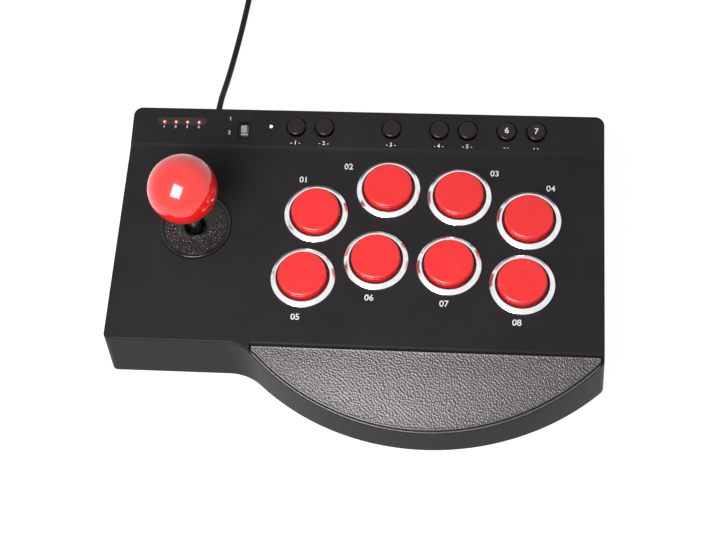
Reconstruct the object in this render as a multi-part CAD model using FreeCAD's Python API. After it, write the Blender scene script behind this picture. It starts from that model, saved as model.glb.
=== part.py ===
import FreeCAD, Part
import math
import os
from FreeCAD import Placement, Rotation, Vector

# All sizes in mm, angles in degrees. X runs to the player's right, Y to the rear, Z up.
# The floor is Z = 0 and the origin is under the middle of the case.

# Case
CASE_WIDTH = 250.0        # across the front edge of the panel
PANEL_HEIGHT = 36.5       # front edge of the panel above the floor
PANEL_DEPTH = 112.0       # along its slope, front edge to strip
PANEL_TILT = 6.0
STRIP_DEPTH = 20.6        # along its slope, front edge to rear edge
STRIP_TILT = 14.0
SIDE_DRAFT = 2.4
WALL = 2.5
REAR_CORNER = 4.8
FRONT_CORNER = 3.0
EDGE_ROUND = 0.95
COVE_SLOPE = 29.0         # steepest part of the hollow step up to the strip
COVE_ROUND = 8.5
COVE_EDGE = 1.6

# Wrist rest, a bulge in front of the panel with an inlaid pad
REST_X = 37.2
REST_RADIUS = 127.0
REST_REACH = 39.0
REST_BLEND = 25.0
REST_CORNER = 5.0
REST_LEFT = -50.6
REST_STEP = 1.0           # rim below the panel's front edge
REST_SLOPE = 19.8
RIM = 1.2
RIM_ROUND = 1.05
PAD_THICK = 3.0
PAD_SINK = 0.4
PAD_GAP = 0.3

# Base
FOOT_HEIGHT = 2.5
FOOT_RADIUS = 9.0
FOOT_RECESS = 0.8
PLATE_LIFT = 0.3          # plate set in from the lower edge of the case
PLATE_THICK = 2.5
PLATE_GAP = 0.2
SCREW_RADIUS = 1.3
SCREW_HEAD = 2.6
SCREW_HEAD_HEIGHT = 1.8
SCREW_LENGTH = 8.0
SCREW_GAP = 0.05
BOSS_RADIUS = 3.4

# Large buttons: places as shares of the case width and the panel depth
BUTTONS = (
    (-0.090, 0.650), (0.056, 0.785), (0.203, 0.755), (0.346, 0.644),
    (-0.106, 0.325), (0.040, 0.422), (0.188, 0.406), (0.336, 0.324),
)
RING_RADIUS = 16.4
RING_HEIGHT = 1.9
RING_EDGE = 0.6
RING_FLANK = 1.8          # width of its sloping side
SLEEVE_RADIUS = 15.0
SLEEVE_WALL = 0.8
LIP_RADIUS = 13.0
LIP_DEPTH = 2.2
CAP_RADIUS = 12.4
CAP_HEIGHT = 5.9
CAP_ROUND = 1.1
CAP_TOP = 2.4
CAP_FLANGE = 1.5
BUTTON_TRAVEL = 3.0
STEM_RADIUS = 3.0
STEM_DROP = 9.5
HOLE_GAP = 0.15
SLIDE_GAP = 0.3
STOP_GAP = 0.1

# Small buttons on the rear strip: shares of the case width, one place along the strip's slope
SMALL_BUTTONS = (-0.1464, -0.0864, 0.0550, 0.1550, 0.2145, 0.2956, 0.3568)
SMALL_PLACE = 0.520
SMALL_HOLE = 5.3
SMALL_RADIUS = 4.75
SMALL_HEIGHT = 1.6
SMALL_ROUND = 1.0
SMALL_FLANGE = 5.9
SMALL_STEM = 2.0
SMALL_STEM_DROP = 5.0
SMALL_TRAVEL = 1.0

# Indicators and slide switch on the rear strip
WINDOW_X = -0.3921
WINDOW_PLACE = 0.630
WINDOW_LENGTH = 27.0
WINDOW_WIDTH = 4.8
WINDOW_SINK = 0.4
WINDOW_FLANGE = 1.0
LED_PITCH = 6.2
LED_RADIUS = 1.5
LAMP_X = -0.1999
LAMP_RADIUS = 1.05
SWITCH_X = -0.2578
SWITCH_PLACE = 0.450
SWITCH_FRAME = (7.6, 12.0)
SWITCH_SLOT = (4.6, 8.4)
SWITCH_SINK = 1.0
KNOB = (3.2, 3.6)
KNOB_TOP = -0.3
KNOB_FOOT = (4.0, 5.0)
KNOB_TRAVEL = 1.8

# Boards
BOARD_THICK = 1.6
BOARD_EDGE = 4.5
TACT_SIZE = 12.0
TACT_HEIGHT = 4.0
TACT_BUTTON = 3.5
SMALL_TACT_SIZE = 6.0
SMALL_TACT_HEIGHT = 3.5
SMALL_TACT_BUTTON = 1.75

# Stick
STICK_X = -0.338
STICK_PLACE = 0.571
STICK_TILT = 9.0          # each way, about both axes
BALL_RADIUS = 17.5
BALL_HEIGHT = 41.0        # centre above the panel
BALL_FLAT = 5.0
SHAFT_RADIUS = 3.0
SPIGOT_RADIUS = 2.5
PIVOT_DROP = 10.0         # pivot below the panel
DISC_RADIUS = 18.6
DISC_RIM = 1.7
DISC_RIM_HEIGHT = 1.3
DISC_FIELD = 0.5
DISC_SEAT = 0.8
HUB_RADIUS = 6.1
RING_BORE = 6.5
RING_OUTER = 10.0
RING_HALF = 2.2
PIN_RADIUS = 1.6
CROSS_PIN_RADIUS = 1.25
RUN_GAP = 0.05
PRESS_GAP = 0.01
CUP_BORE = 12.8
CUP_WALL = 2.2
HOUSING_HALF = 21.0
HOUSING_FLANGE = 2.5
HOUSING_DROP = 7.0        # flange below the panel
HOUSING_EDGE = 4.0        # its screws in from its corners, each way
POST_ROW = 10.0           # gate screws from the middle
POST_EDGE = 3.0           # and in from the housing's front and rear
ACTUATOR_RADIUS = 6.0
ACTUATOR_HEIGHT = 8.5
ACTUATOR_FLANGE = 7.6
SPRING_WIRE = 0.9
SPRING_TURNS = 4.0
SPRING_SIDES = 10         # flats drawn round the wire
GATE_THICK = 2.0
MICRO_SIZE = (12.8, 6.5, 5.8)
CLIP_THICK = 0.8
CLIP_RADIUS = 4.6
FLOOR_GAP = 3.0           # shaft end clear of the base plate

# Cord
CORD_RADIUS = 1.75
CORD_X = -88.0
CORD_HEIGHT = 11.0
BOOT_LENGTH = 18.0
BOOT_RADIUS = 4.2
BOOT_TIP = 2.7
BOOT_NECK = 3.4
BOOT_FLANGE = 5.4
COIL_RADIUS = 20.0
COIL_SECTION = (14.0, 12.0)
COIL_LIFT = 1.0
COIL_CENTRE = (-55.0, 238.0)
TIE_THICK = 0.8
TAIL_LENGTH = 24.0
PLUG_GRIP = (32.0, 15.0, 8.0)
PLUG_SHELL = (14.0, 12.0, 4.5)


def sin(angle):
    return math.sin(math.radians(angle))


def cos(angle):
    return math.cos(math.radians(angle))


def tan(angle):
    return math.tan(math.radians(angle))


# Levels and planes that follow from the sizes above
COVE_BEND = COVE_SLOPE - PANEL_TILT
COVE_LENGTH = COVE_ROUND * tan(COVE_BEND / 2) + COVE_EDGE * tan((COVE_SLOPE - STRIP_TILT) / 2)
COVE_RISE = COVE_LENGTH * sin(COVE_BEND)
COVE_FOOT = PANEL_DEPTH - COVE_LENGTH * cos(COVE_BEND)
CREASE_RUN = PANEL_DEPTH * cos(PANEL_TILT) - COVE_RISE * sin(PANEL_TILT)
CREASE_HEIGHT = PANEL_HEIGHT + PANEL_DEPTH * sin(PANEL_TILT) + COVE_RISE * cos(PANEL_TILT)
REAR_RUN = CREASE_RUN + STRIP_DEPTH * cos(STRIP_TILT)
REAR_HEIGHT = CREASE_HEIGHT + STRIP_DEPTH * sin(STRIP_TILT)
BASE_HALF = CASE_WIDTH / 2 + (PANEL_HEIGHT - FOOT_HEIGHT) * tan(SIDE_DRAFT)
BASE_REAR = REAR_RUN + (REAR_HEIGHT - FOOT_HEIGHT) * tan(SIDE_DRAFT)
PANEL_Y = REST_REACH - (REST_REACH + BASE_REAR) / 2
REST_Y = PANEL_Y - REST_REACH + REST_RADIUS
REST_TOP = PANEL_HEIGHT - REST_STEP
PLATE_BOTTOM = FOOT_HEIGHT + PLATE_LIFT
PLATE_TOP = PLATE_BOTTOM + PLATE_THICK
BLOCK_TOP = REAR_HEIGHT + 20.0

PANEL = Placement(Vector(0, PANEL_Y, PANEL_HEIGHT), Rotation(Vector(1, 0, 0), PANEL_TILT))
STRIP = Placement(Vector(0, PANEL_Y + CREASE_RUN, CREASE_HEIGHT), Rotation(Vector(1, 0, 0), STRIP_TILT))

SLEEVE_BORE = SLEEVE_RADIUS - SLEEVE_WALL
FLANGE_DROP = LIP_DEPTH + STOP_GAP
SLEEVE_FLOOR = FLANGE_DROP + CAP_FLANGE + BUTTON_TRAVEL + SLIDE_GAP
SLEEVE_DEPTH = SLEEVE_FLOOR + 1.2
TACT_TOP = STEM_DROP + BUTTON_TRAVEL + STOP_GAP
BUTTON_BOARD = TACT_TOP + TACT_HEIGHT + 3.3
SMALL_TACT_TOP = SMALL_STEM_DROP + SMALL_TRAVEL + STOP_GAP
STRIP_BOARD = SMALL_TACT_TOP + SMALL_TACT_HEIGHT + 0.8

STICK_S = STICK_PLACE * PANEL_DEPTH
STICK_DEPTH = (PANEL_HEIGHT + STICK_S * sin(PANEL_TILT) - PLATE_TOP) / cos(PANEL_TILT) - FLOOR_GAP - 1.9
CLIP_TOP = STICK_DEPTH - 1.4
ACTUATOR_TOP = CLIP_TOP - ACTUATOR_HEIGHT
CUP_FLOOR = PIVOT_DROP + RING_OUTER * sin(STICK_TILT) + RING_HALF + SLIDE_GAP
CUP_BOTTOM = CUP_FLOOR + 1.5
GATE_TOP = ACTUATOR_TOP + 1.5 + ACTUATOR_FLANGE * sin(1.45 * STICK_TILT) + SLIDE_GAP
GATE_BOTTOM = GATE_TOP + GATE_THICK
GATE_HALF = ACTUATOR_RADIUS + (GATE_BOTTOM - PIVOT_DROP) * tan(STICK_TILT) + 2 * SLIDE_GAP
MICRO_PLACE = ACTUATOR_RADIUS + (CLIP_TOP - PIVOT_DROP) * tan(STICK_TILT) + 2 * SLIDE_GAP
SWING = SHAFT_RADIUS / cos(STICK_TILT) + 1.42 * (PIVOT_DROP + DISC_RIM_HEIGHT) * tan(STICK_TILT)
DISC_HOLE = SWING + SLIDE_GAP / 2


def rounded_edges(corners, plane):
    """Lines and tangent arcs round a closed loop of (u, v) or (u, v, radius) corners."""
    points = [plane(c[0], c[1]) for c in corners]
    stops = []
    for i, corner in enumerate(corners):
        here = points[i]
        radius = corner[2] if len(corner) > 2 else 0.0
        if radius == 0.0:
            stops.append((here, None, here))
            continue
        back = (points[i - 1] - here).normalize()
        ahead = (points[(i + 1) % len(points)] - here).normalize()
        half = back.getAngle(ahead) / 2
        reach = radius / math.tan(half)
        middle = (back + ahead).normalize() * (radius / math.sin(half) - radius)
        stops.append((here + back * reach, here + middle, here + ahead * reach))
    edges = []
    for i, (start, middle, end) in enumerate(stops):
        before = stops[i - 1][2]
        if before.distanceToPoint(start) > 1e-6:
            edges.append(Part.LineSegment(before, start).toShape())
        if middle is not None:
            edges.append(Part.Arc(start, middle, end).toShape())
    return edges


def turned(corners):
    """Solid of revolution about local Z from (radius, height) corners."""
    edges = rounded_edges(corners, lambda u, v: Vector(u, 0, v))
    face = Part.Face(Part.Wire(edges))
    return face.revolve(Vector(0, 0, 0), Vector(0, 0, 1), 360)


def plate(corners, low, high):
    """Flat plate between two heights from (x, y) or (x, y, radius) corners."""
    edges = rounded_edges(corners, lambda u, v: Vector(u, v, low))
    return Part.Face(Part.Wire(edges)).extrude(Vector(0, 0, high - low))


def block(length, width, low, high, radius=0.0):
    x, y = length / 2, width / 2
    return plate([(-x, -y, radius), (x, -y, radius), (x, y, radius), (-x, y, radius)], low, high)


def rod(radius, low, high):
    return Part.makeCylinder(radius, high - low, Vector(0, 0, low))


def lying(shape, axis):
    """Turn a piece made along local Z so that it lies along X or Y."""
    turn = Rotation(Vector(0, 1, 0), 90) if axis == "x" else Rotation(Vector(1, 0, 0), -90)
    return put(shape, Placement(Vector(), turn))


def put(shape, frame):
    """A moved copy, with the move worked into its geometry."""
    moved = shape.copy()
    moved.transformShape(frame.toMatrix(), True)
    return moved


def at(frame, x, s, n=0.0):
    return frame.multiply(Placement(Vector(x, s, n), Rotation()))


def panel_at(share):
    return at(PANEL, share[0] * CASE_WIDTH, share[1] * PANEL_DEPTH)


def strip_at(share, place):
    return at(STRIP, share * CASE_WIDTH, place * STRIP_DEPTH)


def stick_at():
    return panel_at((STICK_X, STICK_PLACE))


def prism(corners, low, high):
    """Bar along X from (y, z) corners."""
    points = [Vector(low, y, z) for y, z in corners]
    return Part.Face(Part.makePolygon(points + points[:1])).extrude(Vector(high - low, 0, 0))


# Case

def case_outline(inset):
    """Plan of the case drawn in by inset: square rear, bulge at the front right."""
    half = BASE_HALF - inset
    rear = PANEL_Y + BASE_REAR - inset
    front = PANEL_Y + inset
    radius = REST_RADIUS - inset
    blend = REST_BLEND + inset
    hub = Vector(REST_X, REST_Y, 0)
    drop = front - blend - REST_Y
    soft = Vector(REST_X - math.sqrt((radius + blend) ** 2 - drop ** 2), front - blend, 0)
    toward = (hub - soft).normalize()
    join = soft + toward * blend
    start = Vector(soft.x, front, 0)
    bend = soft + (toward + Vector(0, 1, 0)).normalize() * blend
    end = Vector(half, REST_Y - math.sqrt(radius ** 2 - (half - REST_X) ** 2), 0)
    nose = Vector(REST_X, REST_Y - radius, 0)
    rear_left = Vector(-half, rear, 0)
    front_left = Vector(-half, front, 0)
    rear_right = Vector(half, rear, 0)
    return Part.Wire([
        Part.LineSegment(rear_left, front_left).toShape(),
        Part.LineSegment(front_left, start).toShape(),
        Part.Arc(start, bend, join).toShape(),
        Part.Arc(join, nose, end).toShape(),
        Part.LineSegment(end, rear_right).toShape(),
        Part.LineSegment(rear_right, rear_left).toShape(),
    ])


def draft_wedges(inset):
    """What the leaning side and rear walls take off an upright block."""
    rise = BLOCK_TOP + 5 - FOOT_HEIGHT
    lean = rise * tan(SIDE_DRAFT)
    half = BASE_HALF - inset
    rear = PANEL_Y + BASE_REAR - inset
    top = FOOT_HEIGHT + rise
    back = prism([(rear, FOOT_HEIGHT), (rear + 20, FOOT_HEIGHT), (rear + 20, top), (rear - lean, top)], -300, 300)
    side = [
        Vector(half, -300, FOOT_HEIGHT), Vector(half + 20, -300, FOOT_HEIGHT),
        Vector(half + 20, -300, top), Vector(half - lean, -300, top),
    ]
    right = Part.Face(Part.makePolygon(side + side[:1])).extrude(Vector(0, 600, 0))
    left = right.mirror(Vector(0, 0, 0), Vector(1, 0, 0))
    return [back, right, left]


def lowered(corner, before, after, drop, radius):
    """Rounded corner between two slopes, both set down by drop."""
    mean = (before + after) / 2
    away = drop / cos((after - before) / 2)
    return corner[0] + away * sin(mean), corner[1] - away * cos(mean), radius


def top_cutter(drop):
    """Everything above the panel, the hollow step and the strip, lowered by drop."""
    foot = (PANEL_Y + COVE_FOOT * cos(PANEL_TILT), PANEL_HEIGHT + COVE_FOOT * sin(PANEL_TILT))
    crease = (PANEL_Y + CREASE_RUN, CREASE_HEIGHT)
    foot = lowered(foot, PANEL_TILT, COVE_SLOPE, drop, COVE_ROUND)
    crease = lowered(crease, COVE_SLOPE, STRIP_TILT, drop, COVE_EDGE)
    front = (foot[0] - 220 * cos(PANEL_TILT), foot[1] - 220 * sin(PANEL_TILT))
    rear = (crease[0] + 60 * cos(STRIP_TILT), crease[1] + 60 * sin(STRIP_TILT))
    corners = [front, foot, crease, rear, (rear[0], BLOCK_TOP + 40), (front[0], BLOCK_TOP + 40)]
    edges = rounded_edges(corners, lambda y, z: Vector(-300, y, z))
    return Part.Face(Part.Wire(edges)).extrude(Vector(600, 0, 0))


def upright_edges(solid, inset):
    """Corner edges of the case with the radius each one takes."""
    half = BASE_HALF - inset
    rear = PANEL_Y + BASE_REAR - inset
    front = PANEL_Y + inset
    pairs = []
    for edge in solid.Edges:
        box = edge.BoundBox
        if box.ZLength < 10 or len(edge.Vertexes) < 2:
            continue
        foot = min((v.Point for v in edge.Vertexes), key=lambda p: p.z)
        if abs(abs(foot.x) - half) > 0.2:
            continue
        if abs(foot.y - rear) < 0.2:
            pairs.append((edge, REAR_CORNER - inset))
        elif foot.x < 0 and abs(foot.y - front) < 0.2:
            pairs.append((edge, max(FRONT_CORNER - inset, 0.5)))
        elif foot.x > 0:
            pairs.append((edge, REST_CORNER - inset))
    return pairs


def case_block(inset, drop, low):
    """Solid case: outline drawn in, tops lowered, corners rounded."""
    base = case_outline(inset)
    base.translate(Vector(0, 0, low))
    solid = Part.Face(base).extrude(Vector(0, 0, BLOCK_TOP - low))
    for cutter in draft_wedges(inset) + [top_cutter(drop)]:
        solid = solid.cut(cutter)
    for edge, radius in upright_edges(solid, inset):
        solid = round_one(solid, edge, radius)
    return solid


def round_one(solid, edge, radius):
    """Round the edge of the solid that lies where the given one lies."""
    place = edge.CenterOfMass
    near = min(solid.Edges, key=lambda e: e.CenterOfMass.distanceToPoint(place))
    return solid.makeFillet(radius, [near])


def facing_up(face):
    low, high, left, right = face.ParameterRange
    normal = face.normalAt((low + high) / 2, (left + right) / 2)
    return normal.z > cos(REST_SLOPE + 15)


def round_tops(solid):
    """A rounded edge all round the panel, the step, the strip and the rest."""
    tops = [f for f in solid.Faces if facing_up(f)]
    counted = {}
    for face in tops:
        for rim in face.Edges:
            counted.setdefault(rim.hashCode(), []).append(rim)
    outer = [group[0] for group in counted.values() if len(group) == 1]
    return solid.makeFillet(EDGE_ROUND, outer)


def above_rest(sink, back, left):
    """Everything above the sloping rest, sunk by sink, in front of the panel."""
    lower = sink / cos(REST_SLOPE)
    rear = PANEL_Y + back
    rear_z = REST_TOP - lower + back * tan(REST_SLOPE)
    front_z = rear_z - 120 * tan(REST_SLOPE)
    corners = [(rear, rear_z), (rear - 120, front_z), (rear - 120, BLOCK_TOP), (rear, BLOCK_TOP)]
    return prism(corners, left, 300)


def pad_solid(inset, gap, low_sink, high_sink):
    """Plan of the rest drawn in by inset, between two depths below the rim."""
    solid = case_block(inset, -40.0, FOOT_HEIGHT)
    solid = solid.common(above_rest(low_sink, -gap, REST_LEFT + gap))
    return solid.cut(above_rest(high_sink, 20.0, -300))


def wrist_pad():
    pad = pad_solid(RIM + PAD_GAP, PAD_GAP, PAD_SINK + PAD_THICK, PAD_SINK)
    top = max(pad.Faces, key=lambda f: f.CenterOfMass.z if facing_up(f) else -1)
    return pad.makeFillet(0.8, top.Edges)


def plate_screws():
    """Places of the screws that hold the base plate."""
    side = CASE_WIDTH / 2 - 11
    return [
        (-side, PANEL_Y + 14), (side, PANEL_Y + 14),
        (-side, PANEL_Y + 0.90 * CREASE_RUN), (side, PANEL_Y + 0.90 * CREASE_RUN),
        (-0.208 * CASE_WIDTH, PANEL_Y + 0.93 * CREASE_RUN), (REST_X, PANEL_Y - 0.55 * REST_REACH),
    ]


BUTTON_BOARD_SCREWS = ((-0.168, 0.49), (0.416, 0.48), (0.124, 0.196), (0.124, 0.93))
STRIP_BOARD_SCREWS = (-0.306, -0.016, 0.255)


def housing_screws():
    """Where the housing is screwed to the case, about the stick."""
    reach = HOUSING_HALF - HOUSING_EDGE
    return [(x * reach, y * reach) for x in (-1, 1) for y in (-1, 1)]


def gate_screws():
    """Where the gate is screwed to the housing's posts, about the stick."""
    reach = HOUSING_HALF - POST_EDGE
    return [(x * POST_ROW, y * reach) for x in (-1, 1) for y in (-1, 1)]


def bosses():
    """Screw posts inside the case, down to whatever each one carries."""
    posts = []
    for x, y in plate_screws():
        posts.append(Part.makeCylinder(BOSS_RADIUS, BLOCK_TOP, Vector(x, y, PLATE_TOP)))
    for share in BUTTON_BOARD_SCREWS:
        posts.append(put(rod(BOSS_RADIUS - 0.4, -BUTTON_BOARD, 0), panel_at(share)))
    for share in STRIP_BOARD_SCREWS:
        posts.append(put(rod(BOSS_RADIUS - 0.4, -STRIP_BOARD, 0), strip_at(share, SMALL_PLACE)))
    for x, y in housing_screws():
        post = rod(BOSS_RADIUS, -HOUSING_DROP, 0)
        post.translate(Vector(x, y, 0))
        posts.append(put(post, stick_at()))
    return posts


def boss_holes():
    holes = []
    bore = SCREW_RADIUS + SCREW_GAP
    for x, y in plate_screws():
        holes.append(Part.makeCylinder(bore, SCREW_LENGTH, Vector(x, y, PLATE_TOP)))
    for share in BUTTON_BOARD_SCREWS:
        holes.append(put(rod(bore, -BUTTON_BOARD, -BUTTON_BOARD + SCREW_LENGTH), panel_at(share)))
    for share in STRIP_BOARD_SCREWS:
        holes.append(put(rod(bore, -STRIP_BOARD, -STRIP_BOARD + SCREW_LENGTH - 1), strip_at(share, SMALL_PLACE)))
    for x, y in housing_screws():
        hole = rod(bore, -HOUSING_DROP, -HOUSING_DROP + 5.5)
        hole.translate(Vector(x, y, 0))
        holes.append(put(hole, stick_at()))
    return holes


def slot(length, width, low, high):
    return block(length, width, low, high, width / 2 - 0.01)


def panel_openings():
    """Holes and seats for everything that comes through the top."""
    cuts = []
    for share in BUTTONS:
        cuts.append(put(rod(SLEEVE_RADIUS + HOLE_GAP, -20, 10), panel_at(share)))
    cuts.append(put(rod(DISC_RADIUS + HOLE_GAP, -DISC_SEAT, 10), stick_at()))
    cuts.append(put(rod(DISC_HOLE + 2, -20, 10), stick_at()))
    hole = turned([(0, -12), (SMALL_HOLE, -12), (SMALL_HOLE, -0.4), (SMALL_HOLE + 0.6, 0.2), (0, 0.2)])
    for share in SMALL_BUTTONS:
        cuts.append(put(hole, strip_at(share, SMALL_PLACE)))
    cuts.append(put(rod(LAMP_RADIUS + HOLE_GAP, -12, 5), strip_at(LAMP_X, SMALL_PLACE)))
    cuts.append(put(slot(WINDOW_LENGTH, WINDOW_WIDTH, -12, 5), strip_at(WINDOW_X, WINDOW_PLACE)))
    cuts.append(put(switch_opening(), strip_at(SWITCH_X, SWITCH_PLACE)))
    return cuts


def switch_opening():
    """Bevelled seat with a through slot at its floor."""
    outer = Part.makePolygon([Vector(x * SWITCH_FRAME[0] / 2, y * SWITCH_FRAME[1] / 2, 0.05)
                              for x, y in ((-1, -1), (1, -1), (1, 1), (-1, 1), (-1, -1))])
    inner = Part.makePolygon([Vector(x * (SWITCH_SLOT[0] / 2 + 0.5), y * (SWITCH_SLOT[1] / 2 + 0.5), -SWITCH_SINK)
                              for x, y in ((-1, -1), (1, -1), (1, 1), (-1, 1), (-1, -1))])
    seat = Part.makeLoft([outer, inner], True, True)
    return seat.fuse(block(SWITCH_SLOT[0], SWITCH_SLOT[1], -12, 0))


def cord_frame():
    """Local Z straight out of the rear wall where the cord leaves."""
    wall = PANEL_Y + BASE_REAR - (CORD_HEIGHT - FOOT_HEIGHT) * tan(SIDE_DRAFT)
    return Placement(Vector(CORD_X, wall, CORD_HEIGHT), Rotation(Vector(1, 0, 0), SIDE_DRAFT - 90))


def upper_case():
    """Moulded cover: rounded top, rest pocket, even wall, bosses and openings."""
    shell = round_tops(case_block(0.0, 0.0, FOOT_HEIGHT))
    shell = shell.cut(above_rest(0.0, 0.0, REST_LEFT))
    shell = round_rest(shell)
    shell = shell.cut(pad_solid(RIM, 0.0, PAD_SINK + PAD_THICK, -20.0))
    hollow = case_block(WALL, WALL, FOOT_HEIGHT)
    hollow = hollow.cut(above_rest(PAD_SINK + PAD_THICK + WALL, WALL, REST_LEFT - WALL))
    for post in bosses():
        hollow = hollow.cut(post)
    shell = shell.cut(hollow)
    for cutter in panel_openings() + boss_holes():
        shell = shell.cut(cutter)
    return shell.cut(put(rod(BOOT_NECK + HOLE_GAP, -WALL * 2, WALL), cord_frame()))


def round_rest(shell):
    """Round the rim of the rest and the panel's front edge above it."""
    rim = []
    for edge in shell.Edges:
        if len(edge.Vertexes) < 2:
            continue
        middle = edge.valueAt((edge.FirstParameter + edge.LastParameter) / 2)
        level = REST_TOP - (PANEL_Y - middle.y) * tan(REST_SLOPE)
        on_rim = abs(middle.z - level) < 0.02 and middle.y < PANEL_Y - 0.5 and middle.x > REST_LEFT + 1
        on_front = abs(middle.y - PANEL_Y) < 0.02 and middle.z > REST_TOP + 0.5 and abs(middle.x - REST_X) < 30
        if on_rim or (on_front and edge.Length > 100):
            rim.append(edge)
    return shell.makeFillet(RIM_ROUND, rim)


def base_plate():
    """Flat cover under the case, with counterbored screw holes and seats for the feet."""
    solid = case_block(WALL + PLATE_GAP, -40.0, PLATE_BOTTOM)
    solid = solid.common(Part.makeBox(600, 600, PLATE_THICK, Vector(-300, -300, PLATE_BOTTOM)))
    for x, y in plate_screws():
        hole = Part.makeCylinder(SCREW_RADIUS + 0.3, 20, Vector(x, y, 0))
        sink = Part.makeCylinder(SCREW_HEAD + 0.4, SCREW_HEAD_HEIGHT, Vector(x, y, PLATE_BOTTOM))
        solid = solid.cut(hole).cut(sink)
    for x, y in feet():
        solid = solid.cut(Part.makeCylinder(FOOT_RADIUS + HOLE_GAP, FOOT_RECESS, Vector(x, y, PLATE_BOTTOM)))
    return solid


def feet():
    side = CASE_WIDTH / 2 - 26
    spread = 0.34 * REST_RADIUS
    return [
        (-side, PANEL_Y + 16),
        (REST_X - spread, PANEL_Y - 0.2 * REST_REACH), (REST_X + spread, PANEL_Y - 0.2 * REST_REACH),
        (-side, PANEL_Y + BASE_REAR - 20), (side, PANEL_Y + BASE_REAR - 20),
    ]


def foot():
    top = PLATE_BOTTOM + FOOT_RECESS
    return turned([(0, 0), (FOOT_RADIUS - 0.6, 0, 0.5), (FOOT_RADIUS, top, 0.3), (0, top)])


def screw(length):
    """Pan-head screw with a cross recess, its seat at local Z = 0 and the shank upward."""
    tip = SCREW_RADIUS * 0.5
    head = turned([
        (0, -SCREW_HEAD_HEIGHT + 0.3), (SCREW_HEAD, -SCREW_HEAD_HEIGHT + 0.3, 0.7), (SCREW_HEAD, 0),
        (SCREW_RADIUS, 0), (SCREW_RADIUS, length - 1), (tip, length - 0.2), (0, length - 0.2),
    ])
    for angle in (0, 90):
        groove = block(2.6, 0.6, -SCREW_HEAD_HEIGHT, -SCREW_HEAD_HEIGHT + 1.1)
        groove.rotate(Vector(0, 0, 0), Vector(0, 0, 1), angle)
        head = head.cut(groove)
    return head


def case_screws():
    seat = PLATE_BOTTOM + SCREW_HEAD_HEIGHT
    grip = PLATE_TOP - seat
    frames = [Placement(Vector(x, y, seat), Rotation()) for x, y in plate_screws()]
    return Part.Compound([put(screw(SCREW_LENGTH + grip - 0.5), f) for f in frames])


def inner_screws():
    """Screws that hold the two boards and the stick's housing and gate."""
    pieces = []
    for share in BUTTON_BOARD_SCREWS:
        pieces.append(put(screw(SCREW_LENGTH), at(panel_at(share), 0, 0, -BUTTON_BOARD - BOARD_THICK)))
    for share in STRIP_BOARD_SCREWS:
        frame = at(strip_at(share, SMALL_PLACE), 0, 0, -STRIP_BOARD - BOARD_THICK)
        pieces.append(put(screw(SCREW_LENGTH), frame))
    for x, y in housing_screws():
        frame = at(stick_at(), x, y, -HOUSING_DROP - HOUSING_FLANGE)
        pieces.append(put(screw(SCREW_LENGTH - 0.5), frame))
    for x, y in gate_screws():
        frame = at(stick_at(), x, y, -GATE_BOTTOM)
        pieces.append(put(screw(SCREW_LENGTH), frame))
    return Part.Compound(pieces)


# Large buttons

def button_ring():
    """Bezel and sleeve in one: domed collar, inner lip, snap lugs and a floor for the plunger."""
    ring = turned([
        (SLEEVE_RADIUS, 0), (RING_RADIUS, 0), (RING_RADIUS, RING_EDGE, 0.3),
        (RING_RADIUS - RING_FLANK, RING_HEIGHT, 1.0), (LIP_RADIUS + 0.6, RING_HEIGHT, 0.4),
        (LIP_RADIUS, RING_HEIGHT - 0.4, 0.2), (LIP_RADIUS, -LIP_DEPTH),
        (SLEEVE_BORE, -LIP_DEPTH), (SLEEVE_BORE, -SLEEVE_FLOOR),
        (STEM_RADIUS + 1, -SLEEVE_FLOOR), (STEM_RADIUS + 1, -SLEEVE_DEPTH), (SLEEVE_RADIUS, -SLEEVE_DEPTH),
    ])
    lug = turned([
        (SLEEVE_RADIUS - 0.4, -WALL - STOP_GAP), (SLEEVE_RADIUS + 0.8, -WALL - STOP_GAP),
        (SLEEVE_RADIUS - 0.4, -WALL - 3.5),
    ])
    return ring.fuse(lug.common(block(60, 5, -20, 0))).removeSplitter()


def button_plunger():
    """Cap with a soft edge, skirt and flange held under the ring's lip, and a stem to the switch."""
    flange = SLEEVE_BORE - SLIDE_GAP
    roof = CAP_HEIGHT - CAP_TOP
    return turned([
        (0, CAP_HEIGHT), (CAP_RADIUS, CAP_HEIGHT, CAP_ROUND), (CAP_RADIUS, -FLANGE_DROP),
        (flange, -FLANGE_DROP), (flange, -FLANGE_DROP - CAP_FLANGE), (CAP_RADIUS - 1.6, -FLANGE_DROP - CAP_FLANGE),
        (CAP_RADIUS - 1.6, roof), (STEM_RADIUS, roof), (STEM_RADIUS, -STEM_DROP), (0, -STEM_DROP),
    ])


def tact_switch(size, height, button, top):
    """Square switch body with a round button, its base on the board at local Z = 0."""
    body = block(size, size, 0, height, 0.4)
    return body.fuse(rod(button, height, top))


def button_board():
    low = min(share[1] for share in BUTTON_BOARD_SCREWS) * PANEL_DEPTH - BOARD_EDGE
    high = max(share[1] for share in BUTTON_BOARD_SCREWS) * PANEL_DEPTH + BOARD_EDGE
    left = min(share[0] for share in BUTTON_BOARD_SCREWS) * CASE_WIDTH - BOARD_EDGE
    right = max(share[0] for share in BUTTON_BOARD_SCREWS) * CASE_WIDTH + BOARD_EDGE
    corners = [(left, low, 2), (right, low, 2), (right, high, 2), (left, high, 2)]
    board = plate(corners, -BUTTON_BOARD - BOARD_THICK, -BUTTON_BOARD)
    for x, s in BUTTON_BOARD_SCREWS:
        hole = rod(SCREW_RADIUS + 0.2, -40, 0)
        hole.translate(Vector(x * CASE_WIDTH, s * PANEL_DEPTH, 0))
        board = board.cut(hole)
    return put(board, PANEL)


def button_switches():
    switch = tact_switch(TACT_SIZE, TACT_HEIGHT, TACT_BUTTON, BUTTON_BOARD - TACT_TOP)
    return Part.Compound([put(switch, at(panel_at(share), 0, 0, -BUTTON_BOARD)) for share in BUTTONS])


# Rear strip

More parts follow.
